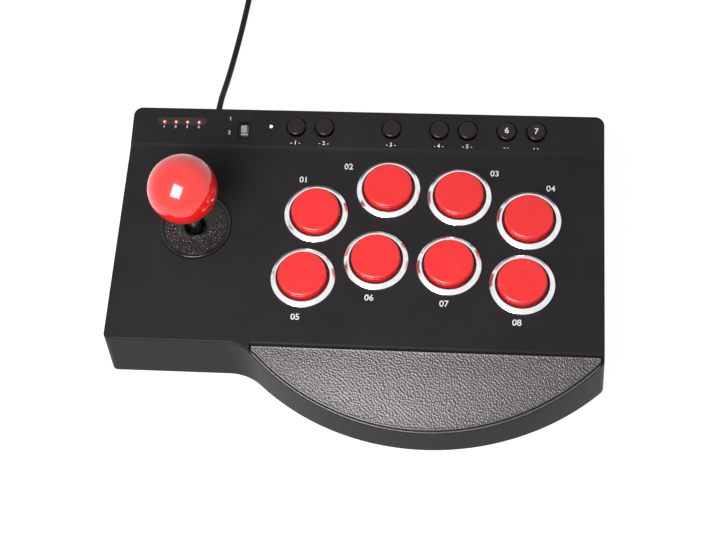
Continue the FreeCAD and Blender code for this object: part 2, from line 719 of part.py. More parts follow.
def small_button():
    """Soft-edged cap with a retaining flange under the strip and a stem to its switch."""
    flange = WALL + STOP_GAP
    return turned([
        (0, SMALL_HEIGHT), (SMALL_RADIUS, SMALL_HEIGHT, SMALL_ROUND), (SMALL_RADIUS, -flange),
        (SMALL_FLANGE, -flange), (SMALL_FLANGE, -flange - 1), (SMALL_STEM, -flange - 1),
        (SMALL_STEM, -SMALL_STEM_DROP), (0, -SMALL_STEM_DROP),
    ])


def strip_board():
    s = SMALL_PLACE * STRIP_DEPTH
    left = WINDOW_X * CASE_WIDTH - WINDOW_LENGTH / 2 - 3
    right = max(SMALL_BUTTONS) * CASE_WIDTH + 7
    front, rear = s - 7.0, s + 3.6
    corners = [(left, front, 1), (right, front, 1), (right, rear, 1), (left, rear, 1)]
    board = plate(corners, -STRIP_BOARD - BOARD_THICK, -STRIP_BOARD)
    for x in STRIP_BOARD_SCREWS:
        hole = rod(SCREW_RADIUS + 0.2, -40, 0)
        hole.translate(Vector(x * CASE_WIDTH, s, 0))
        board = board.cut(hole)
    return put(board, STRIP)


def strip_switches():
    switch = tact_switch(SMALL_TACT_SIZE, SMALL_TACT_HEIGHT, SMALL_TACT_BUTTON, STRIP_BOARD - SMALL_TACT_TOP)
    frames = [at(strip_at(share, SMALL_PLACE), 0, 0, -STRIP_BOARD) for share in SMALL_BUTTONS]
    return Part.Compound([put(switch, frame) for frame in frames])


def indicator_window():
    """Smoked bar let into the strip, with a flange behind it."""
    face = slot(WINDOW_LENGTH - 2 * HOLE_GAP, WINDOW_WIDTH - 2 * HOLE_GAP, -WALL, -WINDOW_SINK)
    flange = slot(WINDOW_LENGTH + 2 * WINDOW_FLANGE, WINDOW_WIDTH + 2 * WINDOW_FLANGE, -WALL - 1.2, -WALL)
    return put(face.fuse(flange).removeSplitter(), strip_at(WINDOW_X, WINDOW_PLACE))


def indicator_leds():
    """Four domed lamps standing on the strip's board under the window."""
    top = STRIP_BOARD - WALL - 1.2 - SLIDE_GAP
    led = turned([(0, 0), (LED_RADIUS + 0.4, 0), (LED_RADIUS + 0.4, 0.8), (LED_RADIUS, 0.8),
                  (LED_RADIUS, top, LED_RADIUS * 0.9), (0, top)])
    lamps = []
    for i in range(4):
        frame = at(strip_at(WINDOW_X, WINDOW_PLACE - 0.05), (i - 1.5) * LED_PITCH, 0, -STRIP_BOARD)
        lamps.append(put(led, frame))
    return Part.Compound(lamps)


def status_lamp():
    """Light guide from the board to a low dome on the strip."""
    guide = turned([
        (0, -STRIP_BOARD), (LAMP_RADIUS + 0.8, -STRIP_BOARD), (LAMP_RADIUS + 0.8, -WALL - STOP_GAP),
        (LAMP_RADIUS, -WALL - STOP_GAP), (LAMP_RADIUS, 0.5, 0.45), (0, 0.5),
    ])
    return put(guide, strip_at(LAMP_X, SMALL_PLACE))


def slide_switch_body():
    """Switch case on the board, open at the top for the slider."""
    top = -WALL - STOP_GAP
    length = KNOB_FOOT[1] + 2 * KNOB_TRAVEL + 2 * SLIDE_GAP
    body = block(KNOB_FOOT[0] + 3.6, length + 1.6, -STRIP_BOARD, top, 0.4)
    well = block(KNOB_FOOT[0] + 2 * STOP_GAP, length, top - 3, 0)
    return put(body.cut(well), strip_at(SWITCH_X, SWITCH_PLACE))


def switch_knob():
    """Slider: ridged grip above a broader foot that runs in the switch."""
    top = -WALL - STOP_GAP
    foot_piece = block(KNOB_FOOT[0], KNOB_FOOT[1], top - 3 + STOP_GAP, top - 0.6)
    grip = block(KNOB[0], KNOB[1], top - 0.6, KNOB_TOP)
    for i in (-1, 0, 1):
        groove = block(KNOB[0] + 1, 0.45, KNOB_TOP - 0.3, KNOB_TOP + 1)
        groove.translate(Vector(0, i * 1.05, 0))
        grip = grip.cut(groove)
    return put(foot_piece.fuse(grip).removeSplitter(), strip_at(SWITCH_X, SWITCH_PLACE))


# Stick

def dust_disc():
    """Round cover plate with a raised soft rim, a sunk field and a lip round the shaft hole."""
    inner = DISC_RADIUS - DISC_RIM
    disc = turned([
        (DISC_HOLE, -DISC_SEAT), (DISC_RADIUS, -DISC_SEAT), (DISC_RADIUS, DISC_RIM_HEIGHT, 0.8),
        (inner, DISC_RIM_HEIGHT, 0.5), (inner - 0.2, DISC_FIELD), (DISC_HOLE + 0.9, DISC_FIELD),
        (DISC_HOLE + 0.8, DISC_FIELD + 0.4, 0.15), (DISC_HOLE, DISC_FIELD + 0.4, 0.25),
    ])
    return put(disc, stick_at())


def ball_top():
    """Ball with a flat underneath and a blind hole for the shaft's spigot."""
    flat = math.sqrt(BALL_RADIUS ** 2 - BALL_FLAT ** 2)
    ball = Part.makeSphere(BALL_RADIUS)
    ball = ball.cut(block(60, 60, -60, -flat))
    ball = ball.cut(rod(SPIGOT_RADIUS + PRESS_GAP, -60, 3))
    return put(ball, at(stick_at(), 0, 0, BALL_HEIGHT))


def stick_shaft():
    """Steel shaft: spigot for the ball, ball-shaped hub at the pivot, groove for the clip."""
    seat = BALL_HEIGHT - math.sqrt(BALL_RADIUS ** 2 - BALL_FLAT ** 2)
    groove = SHAFT_RADIUS - 0.8
    shaft = turned([
        (0, BALL_HEIGHT + 2), (SPIGOT_RADIUS, BALL_HEIGHT + 2, 0.5), (SPIGOT_RADIUS, seat),
        (SHAFT_RADIUS, seat), (SHAFT_RADIUS, -CLIP_TOP), (groove, -CLIP_TOP),
        (groove, -CLIP_TOP - CLIP_THICK), (SHAFT_RADIUS, -CLIP_TOP - CLIP_THICK),
        (SHAFT_RADIUS, -STICK_DEPTH, 0.4), (0, -STICK_DEPTH),
    ])
    hub = Part.makeSphere(HUB_RADIUS, Vector(0, 0, -PIVOT_DROP))
    hub = hub.common(rod(HUB_RADIUS + 1, -PIVOT_DROP - 4, -PIVOT_DROP + 4))
    bore = lying(rod(CROSS_PIN_RADIUS + RUN_GAP, -20, 20), "y")
    bore.translate(Vector(0, 0, -PIVOT_DROP))
    return put(shaft.fuse(hub).cut(bore), stick_at())


def gimbal_ring():
    """Ring that turns on two fixed pins and carries the shaft on a cross pin."""
    ring = turned([(RING_BORE, -RING_HALF), (RING_OUTER, -RING_HALF, 0.5),
                   (RING_OUTER, RING_HALF, 0.5), (RING_BORE, RING_HALF)])
    ring = ring.cut(lying(rod(PIN_RADIUS + RUN_GAP, -20, 20), "x"))
    ring = ring.cut(lying(rod(CROSS_PIN_RADIUS + PRESS_GAP, -20, 20), "y"))
    return put(ring, at(stick_at(), 0, 0, -PIVOT_DROP))


def cross_pin():
    pin = lying(rod(CROSS_PIN_RADIUS, -RING_OUTER + 0.2, RING_OUTER - 0.2), "y")
    return put(pin, at(stick_at(), 0, 0, -PIVOT_DROP))


def gimbal_pins():
    """Two pins pressed through the housing into the ring."""
    pin = lying(rod(PIN_RADIUS, RING_BORE + 0.6, HOUSING_HALF - 4), "x")
    other = pin.mirror(Vector(0, 0, 0), Vector(1, 0, 0))
    frame = at(stick_at(), 0, 0, -PIVOT_DROP)
    return Part.Compound([put(pin, frame), put(other, frame)])


def pivot_housing():
    """Square flange with a cup round the gimbal and posts down to the gate."""
    outer = CUP_BORE + CUP_WALL
    flange_low = -HOUSING_DROP - HOUSING_FLANGE
    cup = turned([
        (CUP_BORE, -HOUSING_DROP + 2), (outer, -HOUSING_DROP + 2, 0.5), (outer, -CUP_BOTTOM, 1.0),
        (ACTUATOR_RADIUS, -CUP_BOTTOM), (ACTUATOR_RADIUS, -CUP_FLOOR), (CUP_BORE, -CUP_FLOOR, 0.6),
    ])
    flange = block(2 * HOUSING_HALF, 2 * HOUSING_HALF, flange_low, -HOUSING_DROP, 3)
    flange = flange.cut(rod(CUP_BORE + 0.5, -40, 0))
    body = cup.fuse(flange)
    for x in (-1, 1):
        ear = block(6, 8, -PIVOT_DROP - PIN_RADIUS - 2, flange_low)
        ear.translate(Vector(x * (HOUSING_HALF - 5), 0, 0))
        body = body.fuse(ear.cut(rod(CUP_BORE + 0.5, -40, 0)))
    for x, y in gate_screws():
        post = rod(2.6, -GATE_TOP, flange_low)
        post.translate(Vector(x, y, 0))
        body = body.fuse(post)
        hole = rod(SCREW_RADIUS + SCREW_GAP, -GATE_TOP, -GATE_TOP + SCREW_LENGTH)
        hole.translate(Vector(x, y, 0))
        body = body.cut(hole)
    for x, y in housing_screws():
        hole = rod(SCREW_RADIUS + 0.2, -40, 0)
        hole.translate(Vector(x, y, 0))
        body = body.cut(hole)
    bore = lying(rod(PIN_RADIUS + PRESS_GAP, -30, 30), "x")
    bore.translate(Vector(0, 0, -PIVOT_DROP))
    return put(body.cut(bore).removeSplitter(), stick_at())


def actuator():
    """Collar on the shaft that presses the switches, with a flange for the spring."""
    bore = SHAFT_RADIUS + PRESS_GAP
    collar = turned([
        (bore, -ACTUATOR_TOP), (ACTUATOR_FLANGE, -ACTUATOR_TOP), (ACTUATOR_FLANGE, -ACTUATOR_TOP - 1.5, 0.4),
        (ACTUATOR_RADIUS, -ACTUATOR_TOP - 1.5), (ACTUATOR_RADIUS, -CLIP_TOP, 0.8), (bore, -CLIP_TOP),
    ])
    return put(collar, stick_at())


def shaft_clip():
    """Open retaining ring in the shaft's groove."""
    clip = turned([
        (SHAFT_RADIUS - 0.75, -CLIP_TOP - CLIP_THICK + 0.05), (CLIP_RADIUS, -CLIP_TOP - CLIP_THICK + 0.05),
        (CLIP_RADIUS, -CLIP_TOP - 0.05), (SHAFT_RADIUS - 0.75, -CLIP_TOP - 0.05),
    ])
    mouth = block(3.0, 8.0, -CLIP_TOP - 2, -CLIP_TOP + 1)
    mouth.translate(Vector(0, -4.0, 0))
    return put(clip.cut(mouth), stick_at())


def return_spring():
    """Coil between the housing's floor and the collar's flange."""
    radius = ACTUATOR_FLANGE - SPRING_WIRE
    low = -ACTUATOR_TOP + SPRING_WIRE / 2 + 0.02
    high = -CUP_BOTTOM - SPRING_WIRE / 2 - 0.02
    rise = high - low
    helix = Part.makeHelix(rise / SPRING_TURNS, rise, radius)
    ring = []
    for i in range(SPRING_SIDES):
        turn = 360.0 * i / SPRING_SIDES
        ring.append(Vector(radius + SPRING_WIRE / 2 * cos(turn), 0, SPRING_WIRE / 2 * sin(turn)))
    section = Part.makePolygon(ring + ring[:1])
    coil = Part.Wire(helix.Edges).makePipeShell([section], True, True)
    coil.translate(Vector(0, 0, low))
    return put(coil, stick_at())


def restrictor_gate():
    """Square plate under the housing whose square hole limits the stick."""
    gate = block(2 * HOUSING_HALF, 2 * HOUSING_HALF, -GATE_BOTTOM, -GATE_TOP, 3)
    gate = gate.cut(block(2 * GATE_HALF, 2 * GATE_HALF, -60, 0, 1.5))
    for x, y in gate_screws():
        hole = rod(SCREW_RADIUS + 0.2, -60, 0)
        hole.translate(Vector(x, y, 0))
        gate = gate.cut(hole)
    return put(gate, stick_at())


def stick_switches():
    """Four lever switches under the gate, one for each way."""
    length, depth, height = MICRO_SIZE
    body = block(length, depth, -GATE_BOTTOM - height, -GATE_BOTTOM, 0.5)
    body.translate(Vector(0, MICRO_PLACE + depth / 2, 0))
    switches = []
    for turn in (0, 90, 180, 270):
        one = body.copy()
        one.rotate(Vector(0, 0, 0), Vector(0, 0, 1), turn)
        switches.append(put(one, stick_at()))
    return Part.Compound(switches)


# Cord

def strain_relief():
    """Ribbed boot through the rear wall."""
    corners = [(0, -WALL - 1.6), (BOOT_NECK + 1.4, -WALL - 1.6), (BOOT_NECK + 1.4, -WALL - STOP_GAP),
               (BOOT_NECK, -WALL - STOP_GAP), (BOOT_NECK, 0), (BOOT_FLANGE, 0), (BOOT_FLANGE, 1.6, 0.5)]
    ribs = 4
    first = 1.6
    pitch = (BOOT_LENGTH - first) / ribs
    for i in range(ribs):
        radius = BOOT_RADIUS + (BOOT_TIP - BOOT_RADIUS) * i / (ribs - 1)
        foot_level = first + i * pitch
        corners += [(radius - 0.5, foot_level), (radius - 0.5, foot_level + 0.25 * pitch),
                    (radius, foot_level + 0.25 * pitch), (radius - 0.15, foot_level + pitch)]
    corners.append((0, BOOT_LENGTH))
    return put(turned(corners), cord_frame())


def cord_points():
    """Route of the cord from the boot's tip to the coil."""
    tip = cord_frame().multVec(Vector(0, 0, BOOT_LENGTH))
    level = COIL_LIFT + CORD_RADIUS + 0.1
    side = COIL_CENTRE[0] - COIL_RADIUS - COIL_SECTION[0] / 2 + CORD_RADIUS + 0.3
    return [
        tip,
        cord_frame().multVec(Vector(0, 0, BOOT_LENGTH + 14.0)),
        Vector(CORD_X + 1.0, tip.y + 38.0, level),
        Vector(CORD_X + 5.0, tip.y + 74.0, level),
        Vector(side - 0.65, COIL_CENTRE[1] - 26.0, level),
        Vector(side, COIL_CENTRE[1] - 2.0, level),
    ]


def cord_wire(points):
    """Straight runs joined by tangent arcs."""
    edges = []
    start = points[0]
    for i in range(1, len(points) - 1):
        here = points[i]
        back = (points[i - 1] - here)
        ahead = (points[i + 1] - here)
        short = min(back.Length, ahead.Length)
        back.normalize()
        ahead.normalize()
        reach = 0.45 * short
        half = back.getAngle(ahead) / 2
        radius = reach * math.tan(half)
        middle = (back + ahead).normalize() * (radius / math.sin(half) - radius)
        edges.append(Part.LineSegment(start, here + back * reach).toShape())
        edges.append(Part.Arc(here + back * reach, here + middle, here + ahead * reach).toShape())
        print("cord bend radius", round(radius, 1))
        start = here + ahead * reach
    edges.append(Part.LineSegment(start, points[-1]).toShape())
    return Part.Wire(edges)


def cord_tube():
    points = cord_points()
    wire = cord_wire(points)
    section = Part.Wire(Part.makeCircle(CORD_RADIUS, points[0], points[1] - points[0]))
    tube = wire.makePipeShell([section], True, True)
    print("cord volume", round(tube.Volume / (math.pi * CORD_RADIUS ** 2 * wire.Length), 4))
    return tube


def coil_frame():
    return Placement(Vector(COIL_CENTRE[0], COIL_CENTRE[1], COIL_LIFT), Rotation())


def coil_corners(grow):
    wide, high = COIL_SECTION
    low, top = -grow, high + grow
    near, far = COIL_RADIUS - wide / 2 - grow, COIL_RADIUS + wide / 2 + grow
    return [(near, low, 3), (far, low, 3), (far, top, 3), (near, top, 3)]


def cord_coil():
    """Outer shape of the tied coil, with the free end that runs to the plug."""
    ring = turned(coil_corners(0.0))
    tail = lying(rod(CORD_RADIUS, 0, TAIL_LENGTH), "x")
    tail.translate(Vector(0, tail_row(), plug_level() - COIL_LIFT))
    return put(ring.fuse(tail), coil_frame())


def tail_row():
    return COIL_RADIUS + COIL_SECTION[0] / 2 - CORD_RADIUS - 0.3


def plug_level():
    return PLUG_GRIP[2] / 2 + 0.2


def coil_tie():
    """Strap round the coil's bundle."""
    outer = Part.Face(Part.Wire(rounded_edges(coil_corners(TIE_THICK), lambda u, v: Vector(u, 0, v))))
    inner = Part.Face(Part.Wire(rounded_edges(coil_corners(0.02), lambda u, v: Vector(u, 0, v))))
    band = outer.cut(inner)
    band.rotate(Vector(0, 0, 0), Vector(0, 0, 1), -10)
    strap = band.revolve(Vector(0, 0, 0), Vector(0, 0, 1), 20)
    return put(strap, coil_frame())


def plug_frame():
    start = COIL_CENTRE[0] + TAIL_LENGTH
    return Placement(Vector(start, COIL_CENTRE[1] + tail_row(), plug_level()), Rotation(Vector(0, 1, 0), 90))


def plug_grip():
    """Moulded grip with a tapered neck, local Z along the plug."""
    length, wide, high = PLUG_GRIP
    neck = turned([(0, 0), (CORD_RADIUS + 0.9, 0), (CORD_RADIUS + 1.7, 9), (0, 9)])
    body = block(high, wide, 8, length, 2.0)
    ends = [e for e in body.Edges if abs(e.CenterOfMass.z - 8) < 0.01]
    return put(neck.fuse(body.makeFillet(1.5, ends)).removeSplitter(), plug_frame())


def plug_shell():
    """Metal shell of the plug with its tongue."""
    length, wide, high = PLUG_SHELL
    base = PLUG_GRIP[0]
    shell = block(high, wide, base, base + length, 0.4)
    shell = shell.cut(block(high - 0.7, wide - 0.7, base + 0.6, base + length + 1))
    tongue = block(1.8, wide - 1.0, base, base + length - 0.8)
    tongue.translate(Vector((high - 0.7) / 2 - 1.0, 0, 0))
    return put(shell.fuse(tongue).removeSplitter(), plug_frame())


def export(name, shape):
    shape.exportStep("parts/" + name + ".step")


def main():
    os.makedirs("parts", exist_ok=True)
    export("upper_case", upper_case())
    export("base_plate", base_plate())
    export("wrist_pad", wrist_pad())
    for i, (x, y) in enumerate(feet(), 1):
        export("foot_%d" % i, put(foot(), Placement(Vector(x, y, 0), Rotation())))
    export("case_screws", case_screws())
    export("inner_screws", inner_screws())

    ring, plunger = button_ring(), button_plunger()
    for i, share in enumerate(BUTTONS, 1):
        export("button_ring_%d" % i, put(ring, panel_at(share)))
        export("button_plunger_%d" % i, put(plunger, panel_at(share)))
    export("button_board", button_board())
    export("button_switches", button_switches())

    cap = small_button()
    for i, share in enumerate(SMALL_BUTTONS, 1):
        export("small_button_%d" % i, put(cap, strip_at(share, SMALL_PLACE)))
    strip_pieces = (strip_board, strip_switches, indicator_window, indicator_leds, status_lamp,
                    slide_switch_body, switch_knob)
    stick_pieces = (dust_disc, ball_top, stick_shaft, gimbal_ring, cross_pin, gimbal_pins, pivot_housing,
                    actuator, shaft_clip, return_spring, restrictor_gate, stick_switches)
    cord_pieces = (strain_relief, cord_tube, cord_coil, coil_tie, plug_grip, plug_shell)
    for make in strip_pieces + stick_pieces + cord_pieces:
        export(make.__name__, make())


main()
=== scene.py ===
import math

import bmesh
import bpy
from mathutils import Matrix, Vector
from mathutils.bvhtree import BVHTree


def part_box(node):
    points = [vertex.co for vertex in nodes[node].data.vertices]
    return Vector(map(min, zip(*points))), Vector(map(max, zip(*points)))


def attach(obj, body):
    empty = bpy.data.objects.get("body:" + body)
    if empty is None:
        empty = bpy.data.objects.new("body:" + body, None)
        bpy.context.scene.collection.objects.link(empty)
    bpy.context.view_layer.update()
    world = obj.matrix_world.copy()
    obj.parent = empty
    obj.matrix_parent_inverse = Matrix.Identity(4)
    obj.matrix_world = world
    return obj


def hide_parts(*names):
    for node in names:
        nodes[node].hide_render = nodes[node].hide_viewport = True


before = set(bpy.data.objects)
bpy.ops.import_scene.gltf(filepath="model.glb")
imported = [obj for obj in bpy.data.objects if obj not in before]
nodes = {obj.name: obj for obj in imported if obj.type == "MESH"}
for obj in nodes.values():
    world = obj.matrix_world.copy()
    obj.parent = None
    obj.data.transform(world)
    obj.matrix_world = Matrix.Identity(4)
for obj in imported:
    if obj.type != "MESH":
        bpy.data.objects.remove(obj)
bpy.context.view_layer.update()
scene = bpy.context.scene
scene.view_settings.view_transform = "Standard"
mm = 0.001  # every size below is in millimetres unless its note says otherwise
print("frame:", len(nodes), "nodes")


# camera at the photograph's angle

cameraView = {
    "lookAt": (0.0, 0.82, 30.0),
    "distance": 844.3,
    "azimuth": 9.92,    # to the right of straight ahead
    "elevation": 58.74,
    "roll": 6.77,       # right side dips
    "lens": 82.66, "sensor": 36.0,
    "clipEnd": 20.0,    # metres
}


def aimMatrix(target, away, right):
    up = away.cross(right)
    turn = Matrix((right, up, away)).transposed().to_4x4()
    return Matrix.Translation(target) @ turn


def placeCamera(view):
    azimuth, elevation, roll = (math.radians(view[k]) for k in ("azimuth", "elevation", "roll"))
    away = Vector((
        math.sin(azimuth) * math.cos(elevation),
        -math.cos(azimuth) * math.cos(elevation),
        math.sin(elevation),
    ))
    level = Vector((math.cos(azimuth), math.sin(azimuth), 0.0))
    right = math.cos(roll) * level - math.sin(roll) * away.cross(level)
    data = bpy.data.cameras.new("photoCamera")
    data.lens = view["lens"]
    data.sensor_width = view["sensor"]
    data.clip_end = view["clipEnd"]
    camera = bpy.data.objects.new("photoCamera", data)
    scene.collection.objects.link(camera)
    place = (Vector(view["lookAt"]) + view["distance"] * away) * mm
    camera.matrix_world = aimMatrix(place, away, right)
    scene.camera = camera


placeCamera(cameraView)
print("camera placed")


# the two tilted faces that carry the controls

panelPlane = {"origin": (0.0, -47.226, 36.5), "tilt": 6.0}
stripPlane = {"origin": (0.0, 64.081, 48.961), "tilt": 14.0}


def planeMatrix(plane):
    turn = Matrix.Rotation(math.radians(plane["tilt"]), 4, "X")
    return Matrix.Translation(Vector(plane["origin"]) * mm) @ turn


def onPlane(plane, x, s, n=0.0):  # matrix of a place on a face, x across, s up it, n off it
    return planeMatrix(plane) @ Matrix.Translation(Vector((x, s, n)) * mm)


# node helpers

def addNode(tree, kind, values=None, **props):
    node = tree.nodes.new(kind)
    for key, value in props.items():
        setattr(node, key, value)
    for key, value in (values or {}).items():
        node.inputs[key].default_value = value
    return node


def objectPoint(tree, stretch=(1, 1, 1)):
    coords = addNode(tree, "ShaderNodeTexCoord")
    mapping = addNode(tree, "ShaderNodeMapping", {"Scale": stretch})
    tree.links.new(coords.outputs["Object"], mapping.inputs["Vector"])
    return mapping.outputs["Vector"]


def noiseValue(tree, point, size, detail=2.0):  # size of a blotch, mm
    noise = addNode(tree, "ShaderNodeTexNoise", {"Scale": 1.0 / (size * mm), "Detail": detail})
    tree.links.new(point, noise.inputs["Vector"])
    return noise.outputs["Fac"]


def cellValue(tree, point, size):  # size of a cell, mm
    cells = addNode(tree, "ShaderNodeTexVoronoi", {"Scale": 1.0 / (size * mm)}, feature="F1")
    tree.links.new(point, cells.inputs["Vector"])
    return cells.outputs["Distance"]


def rampColour(tree, value, stops):
    ramp = addNode(tree, "ShaderNodeValToRGB")
    points = ramp.color_ramp.elements
    while len(points) < len(stops):
        points.new(0.5)
    for point, (place, colour) in zip(points, stops):
        point.position = place
        point.color = (*colour, 1.0)
    tree.links.new(value, ramp.inputs["Fac"])
    return ramp.outputs["Color"]


def spanValue(tree, value, span, source=(0.3, 0.7)):
    values = {"From Min": source[0], "From Max": source[1], "To Min": span[0], "To Max": span[1]}
    node = addNode(tree, "ShaderNodeMapRange", values)
    tree.links.new(value, node.inputs["Value"])
    return node.outputs["Result"]


def bumpNormal(tree, height, depth, under=None):  # depth in mm
    bump = addNode(tree, "ShaderNodeBump", {"Distance": depth * mm})
    tree.links.new(height, bump.inputs["Height"])
    if under is not None:
        tree.links.new(under, bump.inputs["Normal"])
    return bump.outputs["Normal"]


def newFinish(name, sockets):
    finish = bpy.data.materials.new(name)
    finish.use_nodes = True
    shader = finish.node_tree.nodes["Principled BSDF"]
    for key, value in sockets.items():
        shader.inputs[key].default_value = value
    return finish, finish.node_tree, shader


def feed(tree, shader, **outputs):
    sockets = {"colour": "Base Color", "rough": "Roughness", "normal": "Normal", "glow": "Emission Color"}
    for key, output in outputs.items():
        tree.links.new(output, shader.inputs[sockets[key]])


# finishes

mouldedLooks = {  # two shades, roughness span, grain size and depth, patch size, fixed sockets
    "caseBlack": {
        "shades": ((0.0226, 0.0214, 0.0232), (0.0270, 0.0257, 0.0278)), "rough": (0.32, 0.38),
        "grain": 0.55, "depth": 0.035, "patch": 38.0, "sockets": {"Specular IOR Level": 0.04},
    },
    "beadHighlightGrey": {
        # painted highlight: lighter grey than the case, so that the bead shows as a light line along the rim
        "shades": ((0.070, 0.069, 0.079), (0.090, 0.088, 0.100)), "rough": (0.24, 0.30),
        "grain": 0.55, "depth": 0.006, "patch": 20.0, "sockets": {"Specular IOR Level": 0.60},
    },
    "ballRed": {
        "shades": ((0.93, 0.008, 0.003), (0.96, 0.012, 0.006)), "rough": (0.30, 0.36),
        "grain": 2.6, "depth": 0.004, "patch": 16.0,
        "sockets": {"Specular IOR Level": 0.1, "Coat Weight": 1.0, "Coat Roughness": 0.015, "Coat IOR": 1.75},
    },
    "plungerRed": {
        "shades": ((0.95, 0.020, 0.022), (0.98, 0.028, 0.030)), "rough": (0.24, 0.32),
        "grain": 0.9, "depth": 0.006, "patch": 9.0,
        "sockets": {"Specular IOR Level": 0.45, "Coat Weight": 0.15, "Coat Roughness": 0.10},
    },
    "capBlack": {
        "shades": ((0.0100, 0.0035, 0.0050), (0.0140, 0.0052, 0.0070)), "rough": (0.09, 0.14),
        "grain": 0.7, "depth": 0.004, "patch": 4.0, "sockets": {"Specular IOR Level": 0.30},
    },
    "discBlack": {
        "shades": ((0.0060, 0.0050, 0.0052), (0.0090, 0.0075, 0.0078)), "rough": (0.07, 0.11),
        "grain": 0.7, "depth": 0.004, "patch": 4.0, "sockets": {"Specular IOR Level": 0.38},
    },
    "windowSmoke": {
        "shades": ((0.0080, 0.0040, 0.0045), (0.0110, 0.0055, 0.0060)), "rough": (0.10, 0.16),
        "grain": 1.2, "depth": 0.002, "patch": 6.0, "sockets": {"Specular IOR Level": 0.5},
    },
    "knobGrey": {
        "shades": ((0.40, 0.40, 0.41), (0.50, 0.50, 0.51)), "rough": (0.38, 0.50),
        "grain": 0.25, "depth": 0.010, "patch": 2.0, "sockets": {"Specular IOR Level": 0.5},
    },
    "nylonGrey": {
        "shades": ((0.100, 0.100, 0.105), (0.135, 0.135, 0.140)), "rough": (0.42, 0.55),
        "grain": 0.6, "depth": 0.015, "patch": 12.0, "sockets": {"Specular IOR Level": 0.45},
    },
    "switchBlack": {
        "shades": ((0.018, 0.018, 0.020), (0.028, 0.028, 0.030)), "rough": (0.45, 0.58),
        "grain": 0.4, "depth": 0.012, "patch": 5.0, "sockets": {"Specular IOR Level": 0.4},
    },
    "footRubber": {
        "shades": ((0.020, 0.020, 0.020), (0.034, 0.033, 0.032)), "rough": (0.75, 0.90),
        "grain": 0.35, "depth": 0.030, "patch": 7.0, "sockets": {"Specular IOR Level": 0.25},
    },
    "cordBlack": {
        "shades": ((0.007, 0.007, 0.007), (0.012, 0.012, 0.012)), "rough": (0.42, 0.55),
        "grain": 0.5, "depth": 0.012, "patch": 14.0, "sockets": {"Specular IOR Level": 0.15},
    },
}


mouldedPits = {"size": 1.7, "depth": 0.5}  # as shares of the grain's size and depth


def mouldedFinish(name, look):
    finish, tree, shader = newFinish(name, look["sockets"])
    point = objectPoint(tree)
    patch = noiseValue(tree, point, look["patch"], 3.0)
    grain = noiseValue(tree, point, look["grain"], 2.0)
    pits = cellValue(tree, point, look["grain"] * mouldedPits["size"])
    normal = bumpNormal(tree, pits, mouldedPits["depth"] * look["depth"])
    feed(
        tree, shader,
        colour=rampColour(tree, patch, [(0.32, look["shades"][0]), (0.68, look["shades"][1])]),
        rough=spanValue(tree, patch, look["rough"]),
        normal=bumpNormal(tree, grain, look["depth"], normal),
    )
    return finish


metalLooks = {  # stretch draws the noise out into turning or drawing marks
    "ringChrome": {
        "shades": ((0.80, 0.80, 0.81), (0.92, 0.92, 0.93)), "rough": (0.13, 0.18),
        "stretch": (1, 1, 1), "grain": 3.0, "depth": 0.003,
    },
    "turnedSteel": {
        "shades": ((0.60, 0.60, 0.61), (0.74, 0.74, 0.75)), "rough": (0.16, 0.28),
        "stretch": (0.15, 0.15, 4.0), "grain": 0.9, "depth": 0.004,
    },
    "contactGold": {
        "shades": ((0.78, 0.52, 0.20), (0.88, 0.62, 0.27)), "rough": (0.18, 0.26),
        "stretch": (0.2, 3.0, 1.0), "grain": 0.5, "depth": 0.003,
    },
}
smearSize = 11.0  # of the duller patches on metal


def metalFinish(name, look):
    finish, tree, shader = newFinish(name, {"Metallic": 1.0})
    point = objectPoint(tree, look["stretch"])
    marks = noiseValue(tree, point, look["grain"], 3.0)
    smear = noiseValue(tree, objectPoint(tree), smearSize, 2.0)
    feed(
        tree, shader,
        colour=rampColour(tree, marks, [(0.3, look["shades"][0]), (0.7, look["shades"][1])]),
        rough=spanValue(tree, smear, look["rough"]),
        normal=bumpNormal(tree, marks, look["depth"]),
    )
    return finish


shaftShadeLook = {"black": (0.012, 0.012, 0.012), "level": (-4.0, -3.0)}  # levels off the panel; painted shade: the steel goes black below them, down in the disc's hole


def shaftFinish(look):
    finish = metalFinish("shaftSteel", metalLooks["turnedSteel"])
    tree = finish.node_tree
    shader = tree.nodes["Principled BSDF"]
    steel = shader.inputs["Base Color"].links[0].from_socket
    height = addNode(tree, "ShaderNodeVectorMath", operation="DOT_PRODUCT")
    panel = planeMatrix(panelPlane)
    normal = panel.to_3x3() @ Vector((0, 0, 1))
    height.inputs[1].default_value = normal
    tree.links.new(objectPoint(tree), height.inputs[0])
    base = normal.dot(panel.translation)
    low, high = (base + level * mm for level in look["level"])
    share = spanValue(tree, height.outputs["Value"], (0.0, 1.0), (low, high))
    # painted shade: steel above the levels, black below them, for the shade down in the disc's hole
    mix = addNode(tree, "ShaderNodeMix", data_type="RGBA")
    tree.links.new(share, mix.inputs["Factor"])
    mix.inputs[6].default_value = (*look["black"], 1.0)  # 6 and 7 are the mix's two colours
    tree.links.new(steel, mix.inputs[7])
    tree.links.new(mix.outputs[2], shader.inputs["Base Color"])
    return finish


leatherLooks = {  # crease and crown shades, the creases darker as painted shade; the grain attribute comes with the mesh
    "padLeather": {
        "shades": ((0.0030, 0.0028, 0.0028), (0.034, 0.031, 0.030)), "rough": (0.42, 0.20), "shine": 0.86,
        "tint": (1.0, 0.94, 0.925), "pore": 0.75, "depth": 0.040,
    },
    "discLeather": {
        "shades": ((0.001, 0.0008, 0.0008), (0.012, 0.010, 0.010)), "rough": (0.23, 0.12), "shine": 0.44,
        "tint": (1.0, 0.91, 0.90), "pore": 0.70, "depth": 0.020,
    },
}


